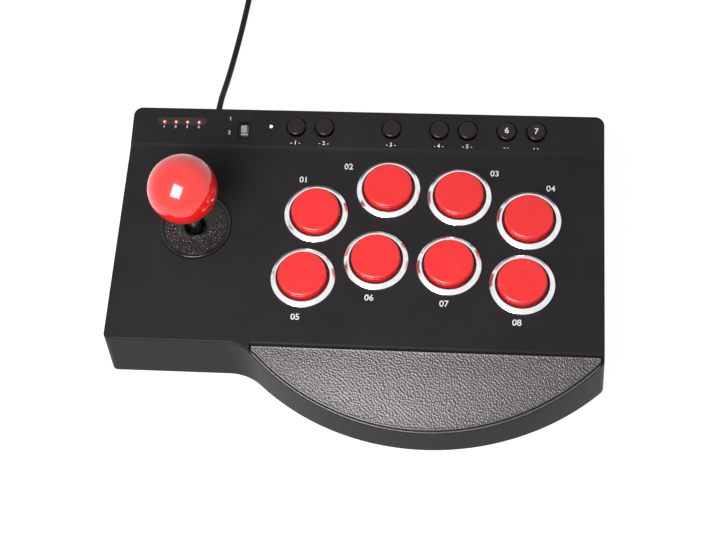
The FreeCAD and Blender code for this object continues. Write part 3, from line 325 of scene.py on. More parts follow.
def leatherFinish(name, look):
    sockets = {"Specular IOR Level": look["shine"], "Specular Tint": (*look["tint"], 1.0)}
    finish, tree, shader = newFinish(name, sockets)
    grain = addNode(tree, "ShaderNodeAttribute", attribute_name="grain").outputs["Fac"]
    pores = noiseValue(tree, objectPoint(tree), look["pore"], 2.0)
    feed(
        tree, shader,
        # painted shade: the colour darkens into the creases of the grain
        colour=rampColour(tree, grain, [(0.28, look["shades"][0]), (0.80, look["shades"][1])]),
        rough=spanValue(tree, grain, look["rough"], (0.0, 1.0)),
        normal=bumpNormal(tree, pores, look["depth"]),
    )
    return finish


boardLook = {
    "stretch": (1.0, 1.0, 0.2),
    "tracks": {"Scale": 220.0, "Randomness": 0.6},
    "stops": [(0.05, (0.06, 0.20, 0.07)), (0.12, (0.02, 0.10, 0.04))],  # track, then mask
    "patch": 5.0, "rough": (0.25, 0.40), "depth": 0.03,
}


def boardFinish(look):  # solder mask with tracks showing through
    finish, tree, shader = newFinish("boardGreen", {"Specular IOR Level": 0.5})
    point = objectPoint(tree, look["stretch"])
    tracks = addNode(tree, "ShaderNodeTexVoronoi", look["tracks"], feature="DISTANCE_TO_EDGE")
    tree.links.new(point, tracks.inputs["Vector"])
    edge = tracks.outputs["Distance"]
    feed(
        tree, shader,
        colour=rampColour(tree, edge, look["stops"]),
        rough=spanValue(tree, noiseValue(tree, point, look["patch"]), look["rough"]),
        normal=bumpNormal(tree, edge, look["depth"]),
    )
    return finish


redLamp = {
    "sockets": {"Roughness": 0.18, "Emission Strength": 1.0},
    "stops": [
        (0.14, (1.0, 0.85, 0.83)), (0.34, (0.90, 0.22, 0.22)),
        (0.58, (0.30, 0.010, 0.014)), (1.0, (0.05, 0.002, 0.003)),
    ],
}


def lampFinish(name, lamp):  # bright in the middle, by the lens's own attribute
    finish, tree, shader = newFinish(name, lamp["sockets"])
    glow = addNode(tree, "ShaderNodeAttribute", attribute_name="glow").outputs["Fac"]
    colour = rampColour(tree, glow, lamp["stops"])
    feed(tree, shader, colour=colour, glow=colour)
    return finish


statusLamp = {
    "place": (-49.98, 10.71, 0.3), "core": 0.45, "edge": 1.15,
    "stops": [(0.0, (1.0, 1.0, 1.0)), (0.5, (0.40, 0.40, 0.42)), (1.0, (0.10, 0.10, 0.11))],
}


def whiteLampFinish(lamp):  # bright core that fades towards the rim
    sockets = {"Roughness": 0.2, "Emission Strength": 0.9}
    finish, tree, shader = newFinish("lampWhite", sockets)
    middle = addNode(tree, "ShaderNodeVectorMath", operation="DISTANCE")
    middle.inputs[1].default_value = onPlane(stripPlane, *lamp["place"]).translation
    tree.links.new(objectPoint(tree), middle.inputs[0])
    outward = spanValue(tree, middle.outputs["Value"], (0.0, 1.0), (lamp["core"] * mm, lamp["edge"] * mm))
    colour = rampColour(tree, outward, lamp["stops"])
    feed(tree, shader, colour=colour, glow=colour)
    return finish


inkLook = {
    "patch": 0.35, "rough": (0.5, 0.65), "depth": 0.01,
    "stops": [(0.25, (0.62, 0.62, 0.62)), (0.5, (0.84, 0.84, 0.84))],
}


def inkFinish(look):  # screen print, a little thin in places
    finish, tree, shader = newFinish("printWhite", {"Specular IOR Level": 0.4})
    thin = noiseValue(tree, objectPoint(tree), look["patch"], 3.0)
    feed(
        tree, shader,
        colour=rampColour(tree, thin, look["stops"]),
        rough=spanValue(tree, thin, look["rough"]),
        normal=bumpNormal(tree, thin, look["depth"]),
    )
    return finish


finishes = {name: mouldedFinish(name, look) for name, look in mouldedLooks.items()}
finishes.update({name: metalFinish(name, look) for name, look in metalLooks.items()})
finishes.update({name: leatherFinish(name, look) for name, look in leatherLooks.items()})
finishes["shaftSteel"] = shaftFinish(shaftShadeLook)
finishes["boardGreen"] = boardFinish(boardLook)
finishes["lampRed"] = lampFinish("lampRed", redLamp)
finishes["lampWhite"] = whiteLampFinish(statusLamp)
finishes["printWhite"] = inkFinish(inkLook)

slotFinish = {
    "case_black": "caseBlack", "pad_grain": "caseBlack", "disc_grain": "discBlack",
    "chrome_ring": "ringChrome", "red_gloss": "plungerRed", "black_gloss": "capBlack",
    "smoked_window": "windowSmoke", "lamp_red": "lampRed", "lamp_white": "lampWhite",
    "knob_grey": "knobGrey", "steel": "turnedSteel", "inner_plastic": "nylonGrey",
    "switch_black": "switchBlack", "board_green": "boardGreen", "foot_rubber": "footRubber",
    "cord_black": "cordBlack",
}
nodeFinish = {"ball_top": "ballRed", "stick_shaft": "shaftSteel", "gimbal_ring": "switchBlack"}


def dressNodes():
    for name, node in nodes.items():
        for slot in node.material_slots:
            key = nodeFinish.get(name) or slotFinish[slot.material.name.split(".")[0]]
            slot.material = finishes[key]


dressNodes()
print("finishes:", len(finishes))


# pieces

def addPiece(name, mesh, body, finish):
    piece = bpy.data.objects.new(name, mesh)
    scene.collection.objects.link(piece)
    mesh.materials.clear()
    mesh.materials.append(finishes[finish])
    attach(piece, body)
    return piece


def nodeSurface(name):
    mesh = nodes[name].data
    return BVHTree.FromPolygons([v.co for v in mesh.vertices], [tuple(p.vertices) for p in mesh.polygons])


def joinMeshes(name, parts):
    build = bmesh.new()
    for mesh in parts:
        build.from_mesh(mesh)
        bpy.data.meshes.remove(mesh)
    bmesh.ops.remove_doubles(build, verts=build.verts, dist=1e-7)
    joined = bpy.data.meshes.new(name)
    build.to_mesh(joined)
    build.free()
    return joined


# cord: the lead, its coil and the free end, on one spline

cordLead = {
    "diameter": 3.5,
    "route": [
        (-88.0, 103.852, 11.754), (-88.0, 117.840, 12.340), (-87.0, 141.852, 2.85),
        (-83.0, 177.852, 2.85), (-80.6, 212.0, 2.85), (-79.95, 236.0, 2.85),
    ],
    "coilCentre": (-55.0, 238.0),
    "outerTurn": 25.2,
    "lowestTurn": 2.85,
    "perTurn": 16,
    "places": [  # column in from the outside and layer up, one turn each
        (0, 0), (1, 0), (2, 0), (3, 0), (3, 1), (3, 2), (2, 2), (2, 1), (1, 1), (1, 2), (0, 2), (0, 1),
    ],
    "shiftSpan": 90.0,   # degrees over which a turn moves to its next place
    "shiftStep": 25.0,   # a later turn moves this much earlier, so that none meet
    "freeEnd": [(-47.0, 263.15, 6.2), (-39.0, 262.95, 4.7), (-34.0, 262.95, 4.2), (-30.0, 262.95, 4.2)],
    "length": 1.7,       # metres
}


def smoothStep(t):
    t = min(max(t, 0.0), 1.0)
    return t * t * (3.0 - 2.0 * t)


def coilPoint(lead, step):
    places = lead["places"]
    turn, part = divmod(step, lead["perTurn"])
    angle = 360.0 * part / lead["perTurn"]
    here = places[min(turn, len(places) - 1)]
    after = places[min(turn + 1, len(places) - 1)]
    begin = lead["shiftStep"] * (len(places) - 1 - turn)
    share = smoothStep((angle - begin) / lead["shiftSpan"])
    column = here[0] + share * (after[0] - here[0])
    layer = here[1] + share * (after[1] - here[1])
    inside = 0.75 + 0.25 * math.cos(2 * math.pi / lead["perTurn"])  # the spline runs inside its points
    radius = (lead["outerTurn"] - lead["diameter"] * column) / inside
    height = lead["lowestTurn"] + lead["diameter"] * layer
    around = math.radians(180.0 - angle)
    centre = lead["coilCentre"]
    return (centre[0] + radius * math.cos(around), centre[1] + radius * math.sin(around), height)


def makeCord(lead):
    turns = len(lead["places"])
    steps = turns * lead["perTurn"] + lead["perTurn"] // 4
    points = list(lead["route"])
    points += [coilPoint(lead, step) for step in range(1, steps + 1)]
    points += lead["freeEnd"]
    curve = bpy.data.curves.new("cord_lead", "CURVE")
    curve.dimensions = "3D"
    curve.bevel_depth = 0.5 * lead["diameter"] * mm
    curve.bevel_resolution = 3
    curve.resolution_u = 4
    curve.use_fill_caps = True
    spline = curve.splines.new("NURBS")
    spline.points.add(len(points) - 1)
    for place, point in zip(spline.points, points):
        place.co = (*(Vector(point) * mm), 1.0)
    spline.order_u = 3
    spline.use_endpoint_u = True
    curve.materials.append(finishes["cordBlack"])
    cord = bpy.data.objects.new("cord_lead", curve)
    scene.collection.objects.link(cord)
    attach(cord, "case")
    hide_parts("cord_tube", "cord_coil")
    return len(points)


print("cord points:", makeCord(cordLead))


# geometry node trees

def startTree(name, sockets):
    tree = bpy.data.node_groups.new(name, "GeometryNodeTree")
    tree.interface.new_socket(name="Geometry", in_out="OUTPUT", socket_type="NodeSocketGeometry")
    tree.interface.new_socket(name="Geometry", in_out="INPUT", socket_type="NodeSocketGeometry")
    for label, kind in sockets:
        tree.interface.new_socket(name=label, in_out="INPUT", socket_type="NodeSocket" + kind)
    tree.interface.new_socket(name="Finish", in_out="INPUT", socket_type="NodeSocketMaterial")
    return tree, addNode(tree, "NodeGroupInput").outputs


def endTree(tree, geometry, given):
    real = addNode(tree, "GeometryNodeRealizeInstances")
    smooth = addNode(tree, "GeometryNodeSetShadeSmooth")
    painted = addNode(tree, "GeometryNodeSetMaterial")
    tree.links.new(geometry, real.inputs["Geometry"])
    tree.links.new(real.outputs["Geometry"], smooth.inputs["Geometry"])
    tree.links.new(smooth.outputs["Geometry"], painted.inputs["Geometry"])
    tree.links.new(given["Finish"], painted.inputs["Material"])
    tree.links.new(painted.outputs["Geometry"], addNode(tree, "NodeGroupOutput").inputs["Geometry"])
    return tree


def vectorMath(tree, operation, first, second=None, factor=None):
    node = addNode(tree, "ShaderNodeVectorMath", operation=operation)
    tree.links.new(first, node.inputs[0])
    if second is not None:
        tree.links.new(second, node.inputs[1])
    if factor is not None:
        tree.links.new(factor, node.inputs["Scale"])
    return node.outputs["Value" if operation == "LENGTH" else "Vector"]


def valueMath(tree, operation, first, second):
    node = addNode(tree, "ShaderNodeMath", operation=operation)
    for socket, value in zip(node.inputs, (first, second)):
        if isinstance(value, (int, float)):
            socket.default_value = value
        else:
            tree.links.new(value, socket)
    return node.outputs["Value"]


def runTree(name, mesh, tree, values):
    holder = bpy.data.objects.new(name + "_holder", mesh)
    modifier = holder.modifiers.new("nodes", "NODES")
    modifier.node_group = tree
    for item in tree.interface.items_tree:
        if item.in_out == "INPUT" and item.name in values:
            modifier[item.identifier] = values[item.name]
    scene.collection.objects.link(holder)
    bpy.context.view_layer.update()
    graph = bpy.context.evaluated_depsgraph_get()
    made = bpy.data.meshes.new_from_object(
        holder.evaluated_get(graph), preserve_all_data_layers=True, depsgraph=graph)
    holder.modifiers.remove(modifier)
    bpy.data.objects.remove(holder)
    made.name = name
    return made


leatherGrain = {
    "sway": {"Scale": 420.0, "Detail": 2.0},
    "lay": -50.0,  # degrees to which the drawn-out cells are turned
    "randomness": 0.9,
    "layers": [  # how much finer than the cell, width of a crease, weight
        (1.0, 0.38, 0.78), (2.1, 0.42, 0.22),
    ],
}


def leatherTree(leather):  # cells pressed into a surface, with finer wrinkles inside them
    tree, given = startTree("leatherGrain", [
        ("Cell", "Float"), ("Depth", "Float"), ("Warp", "Float"), ("Seed", "Float"), ("Draw", "Vector"),
    ])
    point = addNode(tree, "GeometryNodeInputPosition").outputs["Position"]
    sway = addNode(tree, "ShaderNodeTexNoise", leather["sway"], noise_dimensions="4D")
    tree.links.new(point, sway.inputs["Vector"])
    tree.links.new(given["Seed"], sway.inputs["W"])
    centred = addNode(tree, "ShaderNodeVectorMath", operation="SUBTRACT")
    centred.inputs[1].default_value = (0.5, 0.5, 0.5)
    tree.links.new(sway.outputs["Color"], centred.inputs[0])
    shift = vectorMath(tree, "SCALE", centred.outputs[0], factor=given["Warp"])
    swayed = vectorMath(tree, "ADD", point, shift)
    lay = {"Angle": math.radians(leather["lay"])}
    turned = addNode(tree, "ShaderNodeVectorRotate", lay, rotation_type="Z_AXIS")
    tree.links.new(swayed, turned.inputs["Vector"])
    drawn = vectorMath(tree, "MULTIPLY", turned.outputs["Vector"], given["Draw"])
    density = valueMath(tree, "DIVIDE", 1.0, given["Cell"])
    heights = []
    for finer, rise, weight in leather["layers"]:
        cells = addNode(
            tree, "ShaderNodeTexVoronoi", {"Randomness": leather["randomness"]},
            voronoi_dimensions="2D", feature="DISTANCE_TO_EDGE")
        tree.links.new(drawn, cells.inputs["Vector"])
        tree.links.new(valueMath(tree, "MULTIPLY", density, finer), cells.inputs["Scale"])
        span = addNode(tree, "ShaderNodeMapRange", {"From Max": rise}, interpolation_type="SMOOTHSTEP")
        tree.links.new(cells.outputs["Distance"], span.inputs["Value"])
        heights.append(valueMath(tree, "MULTIPLY", span.outputs["Result"], weight))
    grain = valueMath(tree, "ADD", *heights)
    store = addNode(tree, "GeometryNodeStoreNamedAttribute", {"Name": "grain"}, data_type="FLOAT", domain="POINT")
    tree.links.new(given["Geometry"], store.inputs["Geometry"])
    tree.links.new(grain, store.inputs["Value"])
    mask = addNode(tree, "GeometryNodeInputNamedAttribute", {"Name": "inside"}, data_type="FLOAT")
    sunk = valueMath(tree, "MULTIPLY", valueMath(tree, "SUBTRACT", grain, 1.0), given["Depth"])
    sunk = valueMath(tree, "MULTIPLY", sunk, mask.outputs["Attribute"])
    normal = addNode(tree, "GeometryNodeInputNormal").outputs["Normal"]
    moved = addNode(tree, "GeometryNodeSetPosition")
    tree.links.new(store.outputs["Geometry"], moved.inputs["Geometry"])
    tree.links.new(vectorMath(tree, "SCALE", normal, factor=sunk), moved.inputs["Offset"])
    return endTree(tree, moved.outputs["Geometry"], given)


def barTree():  # a row of rounded bars, laid across the row
    tree, given = startTree("barRow", [
        ("Count", "Int"), ("Pitch", "Float"), ("Length", "Float"), ("Width", "Float"), ("Height", "Float"),
    ])
    step = addNode(tree, "ShaderNodeCombineXYZ")
    tree.links.new(given["Pitch"], step.inputs["Y"])
    row = addNode(tree, "GeometryNodeMeshLine")
    tree.links.new(given["Count"], row.inputs["Count"])
    tree.links.new(step.outputs["Vector"], row.inputs["Offset"])
    bar = addNode(tree, "GeometryNodeMeshCylinder", {"Vertices": 16, "Radius": 0.5, "Depth": 1.0})
    laid = addNode(tree, "GeometryNodeTransform", {"Rotation": (0.0, math.radians(90.0), 0.0)})
    tree.links.new(bar.outputs["Mesh"], laid.inputs["Geometry"])
    size = addNode(tree, "ShaderNodeCombineXYZ")
    for axis, label in zip("XYZ", ("Length", "Width", "Height")):
        tree.links.new(given[label], size.inputs[axis])
    bars = addNode(tree, "GeometryNodeInstanceOnPoints")
    tree.links.new(row.outputs["Mesh"], bars.inputs["Points"])
    tree.links.new(laid.outputs["Geometry"], bars.inputs["Instance"])
    tree.links.new(size.outputs["Vector"], bars.inputs["Scale"])
    return endTree(tree, bars.outputs["Instances"], given)


def lampTree():  # a row of domed lenses, each with how far out its points are
    tree, given = startTree("lampRow", [
        ("Count", "Int"), ("Pitch", "Float"), ("Radius", "Float"), ("Dome", "Float"),
    ])
    step = addNode(tree, "ShaderNodeCombineXYZ")
    tree.links.new(given["Pitch"], step.inputs["X"])
    row = addNode(tree, "GeometryNodeMeshLine")
    tree.links.new(given["Count"], row.inputs["Count"])
    tree.links.new(step.outputs["Vector"], row.inputs["Offset"])
    lens = addNode(tree, "GeometryNodeMeshUVSphere", {"Segments": 28, "Rings": 16, "Radius": 1.0})
    point = addNode(tree, "GeometryNodeInputPosition").outputs["Position"]
    flat = addNode(tree, "ShaderNodeVectorMath", operation="MULTIPLY")
    flat.inputs[1].default_value = (1.0, 1.0, 0.0)
    tree.links.new(point, flat.inputs[0])
    store = addNode(tree, "GeometryNodeStoreNamedAttribute", {"Name": "glow"}, data_type="FLOAT", domain="POINT")
    tree.links.new(lens.outputs["Mesh"], store.inputs["Geometry"])
    tree.links.new(vectorMath(tree, "LENGTH", flat.outputs[0]), store.inputs["Value"])
    size = addNode(tree, "ShaderNodeCombineXYZ")
    for axis, label in zip("XYZ", ("Radius", "Radius", "Dome")):
        tree.links.new(given[label], size.inputs[axis])
    lamps = addNode(tree, "GeometryNodeInstanceOnPoints")
    tree.links.new(row.outputs["Mesh"], lamps.inputs["Points"])
    tree.links.new(store.outputs["Geometry"], lamps.inputs["Instance"])
    tree.links.new(size.outputs["Vector"], lamps.inputs["Scale"])
    return endTree(tree, lamps.outputs["Instances"], given)


trees = {"leather": leatherTree(leatherGrain), "bars": barTree(), "lamps": lampTree()}
print("node trees:", len(trees))


# wrist pad: a dense sheet cut to the rest's plan, then grained

padInlay = {
    "arcCentre": (37.2, 40.774), "arcRadius": 125.5,        # front edge, in plan
    "blendCentre": (-64.46, -72.226), "blendRadius": 26.5,  # hollow curve at its left end
    "joinX": -46.74,
    "rearEdge": -47.526,
    "levelY": -47.226, "level": 35.075, "slope": 19.8,      # height at levelY
    "rightShy": 0.12,                                       # short of the rim at the right end
    "edgeRound": 0.8,
    "side": 1.6,
    "columns": 650, "rows": 146, "gather": 0.3,             # how much closer points lie near the edges
    "crown": 0.25, "crownReach": 14.0,
    "grainFrom": 0.3, "grainSpan": 1.2,                     # in from the edge, where the grain sets in
    "fill": 0.95,
    "cell": 0.95, "depth": 0.30, "warp": 0.8, "seed": 4.0, "draw": (0.62, 1.05, 1.0),
}


def spread(count, ends):  # 0 to 1, closer together towards both ends
    steps = [i / (count - 1) for i in range(count)]
    return [t - ends * math.sin(2 * math.pi * t) / (2 * math.pi) for t in steps]


def padFront(pad, x):
    if x < pad["joinX"]:
        centre, radius = pad["blendCentre"], pad["blendRadius"]
        return centre[1] + math.sqrt(radius ** 2 - (x - centre[0]) ** 2)
    centre, radius = pad["arcCentre"], pad["arcRadius"]
    return centre[1] - math.sqrt(radius ** 2 - (x - centre[0]) ** 2)


def padInset(pad, x, y, left, right):  # distance in from the nearest edge
    inset = min(pad["rearEdge"] - y, x - left, right - x)
    if x < pad["joinX"]:
        centre = pad["blendCentre"]
        return min(inset, math.hypot(x - centre[0], y - centre[1]) - pad["blendRadius"])
    centre = pad["arcCentre"]
    return min(inset, pad["arcRadius"] - math.hypot(x - centre[0], y - centre[1]))


def gridMesh(name, columns, rows, points, side, insides):
    count = columns * rows
    rim = [i * rows for i in range(columns)]
    rim += [(columns - 1) * rows + j for j in range(1, rows)]
    rim += [i * rows + rows - 1 for i in reversed(range(columns - 1))]
    rim += list(reversed(range(1, rows - 1)))
    faces = []
    for i in range(columns - 1):
        for j in range(rows - 1):
            a = i * rows + j
            faces.append((a, a + rows, a + rows + 1, a + 1))
    lower = [tuple(Vector(points[k]) + side) for k in rim]
    for k in range(len(rim)):
        after = (k + 1) % len(rim)
        faces.append((rim[after], rim[k], count + k, count + after))
    faces.append(tuple(reversed(range(count, count + len(rim)))))
    mesh = bpy.data.meshes.new(name)
    mesh.from_pydata([Vector(p) * mm for p in points + lower], [], faces)
    inside = mesh.attributes.new("inside", "FLOAT", "POINT")
    inside.data.foreach_set("value", insides + [0.0] * len(rim))
    return mesh


def makePad(pad):
    low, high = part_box("wrist_pad")
    left, right = low.x / mm, high.x / mm - pad["rightShy"]
    fall = math.tan(math.radians(pad["slope"]))
    points, insides = [], []
    for across in spread(pad["columns"], pad["gather"]):
        x = left + across * (right - left)
        front = padFront(pad, x)
        for share in spread(pad["rows"], pad["gather"]):
            y = front + share * (pad["rearEdge"] - front)
            inset = padInset(pad, x, y, left, right)
            out = max(0.0, pad["edgeRound"] - max(inset, 0.0))
            drop = pad["edgeRound"] - math.sqrt(pad["edgeRound"] ** 2 - out ** 2)
            swell = pad["crown"] * smoothStep(inset / pad["crownReach"])
            z = pad["level"] + fall * (y - pad["levelY"]) - drop + swell
            points.append((x, y, z))
            insides.append(smoothStep((inset - pad["grainFrom"]) / pad["grainSpan"]))
    flat = gridMesh("pad_flat", pad["columns"], pad["rows"], points, Vector((0, 0, -pad["side"])), insides)
    mesh = runTree("wrist_pad_grain", flat, trees["leather"], {
        "Cell": pad["cell"] * mm, "Depth": pad["depth"] * mm, "Warp": pad["warp"] * mm,
        "Seed": pad["seed"], "Draw": pad["draw"], "Finish": finishes["padLeather"],
    })
    piece = addPiece("wrist_pad_grain", mesh, "case", "padLeather")
    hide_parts("wrist_pad")
    return len(mesh.polygons)


print("pad faces:", makePad(padInlay))


# fine bead along the rim of the rest, in a lighter grey than the case as a painted highlight line

restBead = {
    "out": 0.85,           # from the pad's edge
    "radius": 0.42, "sink": 0.18,
    "startX": -48.9, "endShy": 0.6,
    "steps": (6, 150),     # along the hollow curve and along the front
    "castFrom": 80.0,      # height from which the case's surface is looked for
}


def beadPath(pad, bead):
    centre, radius = pad["blendCentre"], pad["blendRadius"] - bead["out"]
    joinX = centre[0] + radius * (pad["joinX"] - centre[0]) / pad["blendRadius"]
    path = []
    for k in range(bead["steps"][0]):
        x = bead["startX"] + k / bead["steps"][0] * (joinX - bead["startX"])
        path.append((x, centre[1] + math.sqrt(radius ** 2 - (x - centre[0]) ** 2)))
    centre, radius = pad["arcCentre"], pad["arcRadius"] + bead["out"]
    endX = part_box("wrist_pad")[1].x / mm - bead["endShy"]
    begin, end = (math.asin((x - centre[0]) / radius) for x in (joinX, endX))
    for k in range(bead["steps"][1] + 1):
        turn = begin + k / bead["steps"][1] * (end - begin)
        path.append((centre[0] + radius * math.sin(turn), centre[1] - radius * math.cos(turn)))
    return path


def makeRestBead(pad, bead):
    surface = nodeSurface("upper_case")
    curve = bpy.data.curves.new("rest_bead", "CURVE")
    curve.dimensions = "3D"
    curve.bevel_depth = bead["radius"] * mm
    curve.bevel_resolution = 3
    curve.use_fill_caps = True
    path = beadPath(pad, bead)
    spline = curve.splines.new("POLY")
    spline.points.add(len(path) - 1)
    for place, (x, y) in zip(spline.points, path):
        hit = surface.ray_cast(Vector((x, y, bead["castFrom"])) * mm, Vector((0, 0, -1)))[0]
        place.co = (hit.x, hit.y, hit.z - bead["sink"] * mm, 1.0)
    holder = bpy.data.objects.new("rest_bead", curve)
    mesh = bpy.data.meshes.new_from_object(holder)
    bpy.data.objects.remove(holder)
    for face in mesh.polygons:
        face.use_smooth = True
    addPiece("rest_bead", mesh, "case", "beadHighlightGrey")
    return len(mesh.polygons)


print("bead faces:", makeRestBead(padInlay, restBead))


# grained field of the dust disc

discField = {
    "place": (-84.5, 63.95),
    "inner": 6.75, "outer": 16.6, "top": 0.80, "bottom": 0.42,
    "around": 460, "rings": 50, "gather": 0.5,
    "edgeRound": 0.12, "grainSpan": 0.8,
    "cell": 1.45, "depth": 0.36, "warp": 0.9, "seed": 9.0, "draw": (0.80, 1.05, 1.0),
}


def makeDiscField(disc):
    mesh = bpy.data.meshes.new("disc_flat")
    build = bmesh.new()
    inside = build.verts.layers.float.new("inside")
    loops = []
    heights = [(disc["inner"], disc["bottom"])]
    width = disc["outer"] - disc["inner"]
    for share in spread(disc["rings"], disc["gather"]):
        inset = min(share, 1.0 - share) * width
        heights.append((disc["inner"] + share * width, disc["top"] - max(0.0, disc["edgeRound"] - inset)))
    heights.append((disc["outer"], disc["bottom"]))
    for radius, height in heights:
        loop = []
        inset = min(radius - disc["inner"], disc["outer"] - radius)
        for k in range(disc["around"]):
            angle = 2 * math.pi * k / disc["around"]
            spot = Vector((radius * math.cos(angle), radius * math.sin(angle), height))
            vert = build.verts.new(spot * mm)
            vert[inside] = smoothStep(inset / disc["grainSpan"])
            loop.append(vert)
        loops.append(loop)
    for inner, outer in zip(loops, loops[1:] + loops[:1]):
        for k in range(disc["around"]):
            after = (k + 1) % disc["around"]
            build.faces.new((inner[k], outer[k], outer[after], inner[after]))
    bmesh.ops.recalc_face_normals(build, faces=build.faces)
    build.to_mesh(mesh)
    build.free()
    mesh.transform(onPlane(panelPlane, *disc["place"]))
    mesh = runTree("disc_field", mesh, trees["leather"], {
        "Cell": disc["cell"] * mm, "Depth": disc["depth"] * mm, "Warp": disc["warp"] * mm,
        "Seed": disc["seed"], "Draw": disc["draw"], "Finish": finishes["discLeather"],
    })
    addPiece("disc_field", mesh, "case", "discLeather")
    return len(mesh.polygons)


print("disc faces:", makeDiscField(discField))


# black band in the mouth of each button ring, painted shade for the dark gap round each plunger

ringShadeBand = {  # radius and height off the panel
    "profile": [(12.97, 0.9), (12.97, 1.52), (13.585, 1.935), (13.85, 1.93), (13.87, 1.86), (13.1, 0.9)],
    "around": 72,
    "count": 8,
}


def ringCentre(name):
    back = planeMatrix(panelPlane).inverted()
    spots = [back @ vert.co for vert in nodes[name].data.vertices]
    return [0.5 * (min(p[k] for p in spots) + max(p[k] for p in spots)) / mm for k in (0, 1)]


def turnedMesh(name, profile, around):
    verts = []
    for k in range(around):
        angle = 2 * math.pi * k / around
        verts += [Vector((r * math.cos(angle), r * math.sin(angle), z)) * mm for r, z in profile]
    count, faces = len(profile), []
    for k in range(around):
        here, after = k * count, (k + 1) % around * count
        for j in range(count):
            up = (j + 1) % count
            faces.append((here + j, here + up, after + up, after + j))
    mesh = bpy.data.meshes.new(name)
    mesh.from_pydata(verts, [], faces)
    return mesh


def makeRingLiners(shadeBand):
    parts = []
    for i in range(1, shadeBand["count"] + 1):
        mesh = turnedMesh("shadeBand", shadeBand["profile"], shadeBand["around"])
        mesh.transform(onPlane(panelPlane, *ringCentre("button_ring_%d" % i)))
        parts.append(mesh)
    joined = joinMeshes("ring_shade_bands", parts)
    build = bmesh.new()
    build.from_mesh(joined)
    bmesh.ops.recalc_face_normals(build, faces=build.faces)
    build.to_mesh(joined)
    build.free()
    # painted shade: black over the chrome's inner lip
    addPiece("ring_shade_bands", joined, "case", "switchBlack")


makeRingLiners(ringShadeBand)
print("ring liners made")


# printed numerals, marks and the lenses of the lamps

markPrint = {"thickness": 0.03, "lift": 0.02}
panelMarks = {
    "size": 4.7, "bold": 0.07,
    "places": [  # one for each large button
        (-30.5, 92.5), (-7.5, 100.8), (68.4, 98.8), (97.3, 90.9),
        (-28.8, 14.8), (7.6, 26.5), (45.3, 24.5), (81.8, 15.5),
    ],
}
stripMarks = {
    "size": 3.1, "bold": 0.05, "row": 1.94,
    "keys": [-36.6, -21.6, 13.75, 38.75, 53.62, 73.9, 89.2],
    "numbered": 5,       # the rest have their number on the cap
    "lampSize": 2.0, "lampRow": 9.49,
    "switchSize": 2.9, "switchPlaces": [(-71.96, 14.59), (-72.06, 6.79)],
}
capMarks = {
    "size": 4.4, "bold": 0.08, "row": 10.71, "lift": 0.05,
    "castFrom": 10.0,    # height off the strip from which the cap is looked for
}
lampLenses = {
    "first": -107.33, "pitch": 6.2, "row": 12.34, "count": 4,
    "radius": 1.25, "dome": 0.30, "seat": -0.42,
}


def placedText(words, size, bold, place):
    curve = bpy.data.curves.new("mark", "FONT")
    curve.body = words
    curve.size = size * mm
    curve.offset = bold * mm
    curve.extrude = 0.5 * markPrint["thickness"] * mm
    curve.resolution_u = 4
    curve.align_x = "CENTER"
    curve.align_y = "CENTER"
    holder = bpy.data.objects.new("mark", curve)
    mesh = bpy.data.meshes.new_from_object(holder)
    bpy.data.objects.remove(holder)
    bpy.data.curves.remove(curve)
    mesh.transform(place)
    return mesh


def makePanelMarks():
    parts = []
    for i, (x, s) in enumerate(panelMarks["places"], 1):
        place = onPlane(panelPlane, x, s, markPrint["lift"])
        parts.append(placedText("%02d" % i, panelMarks["size"], panelMarks["bold"], place))
    addPiece("panel_numerals", joinMeshes("panel_numerals", parts), "case", "printWhite")


def makeStripMarks():
    lift = markPrint["lift"]
    parts = []
    for i, x in enumerate(stripMarks["keys"], 1):
        words = "- %d -" % i if i <= stripMarks["numbered"] else "- -"
        place = onPlane(stripPlane, x, stripMarks["row"], lift)
        parts.append(placedText(words, stripMarks["size"], stripMarks["bold"], place))
    for i in range(lampLenses["count"]):
        place = onPlane(stripPlane, lampLenses["first"] + i * lampLenses["pitch"], stripMarks["lampRow"], lift)
        parts.append(placedText(str(i + 1), stripMarks["lampSize"], stripMarks["bold"], place))
    for i, (x, s) in enumerate(stripMarks["switchPlaces"], 1):
        place = onPlane(stripPlane, x, s, lift)
        parts.append(placedText(str(i), stripMarks["switchSize"], stripMarks["bold"], place))
    addPiece("strip_marks", joinMeshes("strip_marks", parts), "case", "printWhite")


def makeCapMarks():
    up = planeMatrix(stripPlane).to_3x3() @ Vector((0, 0, 1))
    for i, x in enumerate(stripMarks["keys"], 1):
        if i <= stripMarks["numbered"]:
            continue
        surface = nodeSurface("small_button_%d" % i)
        place = onPlane(stripPlane, x, capMarks["row"], capMarks["castFrom"])
        mesh = placedText(str(i), capMarks["size"], capMarks["bold"], place)
        for vert in mesh.vertices:
            above = (vert.co - place.translation).dot(up)
            hit = surface.ray_cast(vert.co, -up)[0]
            vert.co = hit + up * (above + capMarks["lift"] * mm)
        addPiece("cap_numeral_%d" % i, mesh, "small_key_%d" % i, "printWhite")


def makeLamps(lamps):
    mesh = runTree("lamp_lenses", bpy.data.meshes.new("lamps"), trees["lamps"], {
        "Count": lamps["count"], "Pitch": lamps["pitch"] * mm, "Radius": lamps["radius"] * mm,
        "Dome": lamps["dome"] * mm, "Finish": finishes["lampRed"],
    })
    mesh.transform(onPlane(stripPlane, lamps["first"], lamps["row"], lamps["seat"]))
    addPiece("lamp_lenses", mesh, "case", "lampRed")


makePanelMarks()
makeStripMarks()
makeCapMarks()
makeLamps(lampLenses)
print("marks and lamps made")


# return spring, drawn up so that the tilting collar clears it

returnCoil = {"share": 0.72}  # of its length


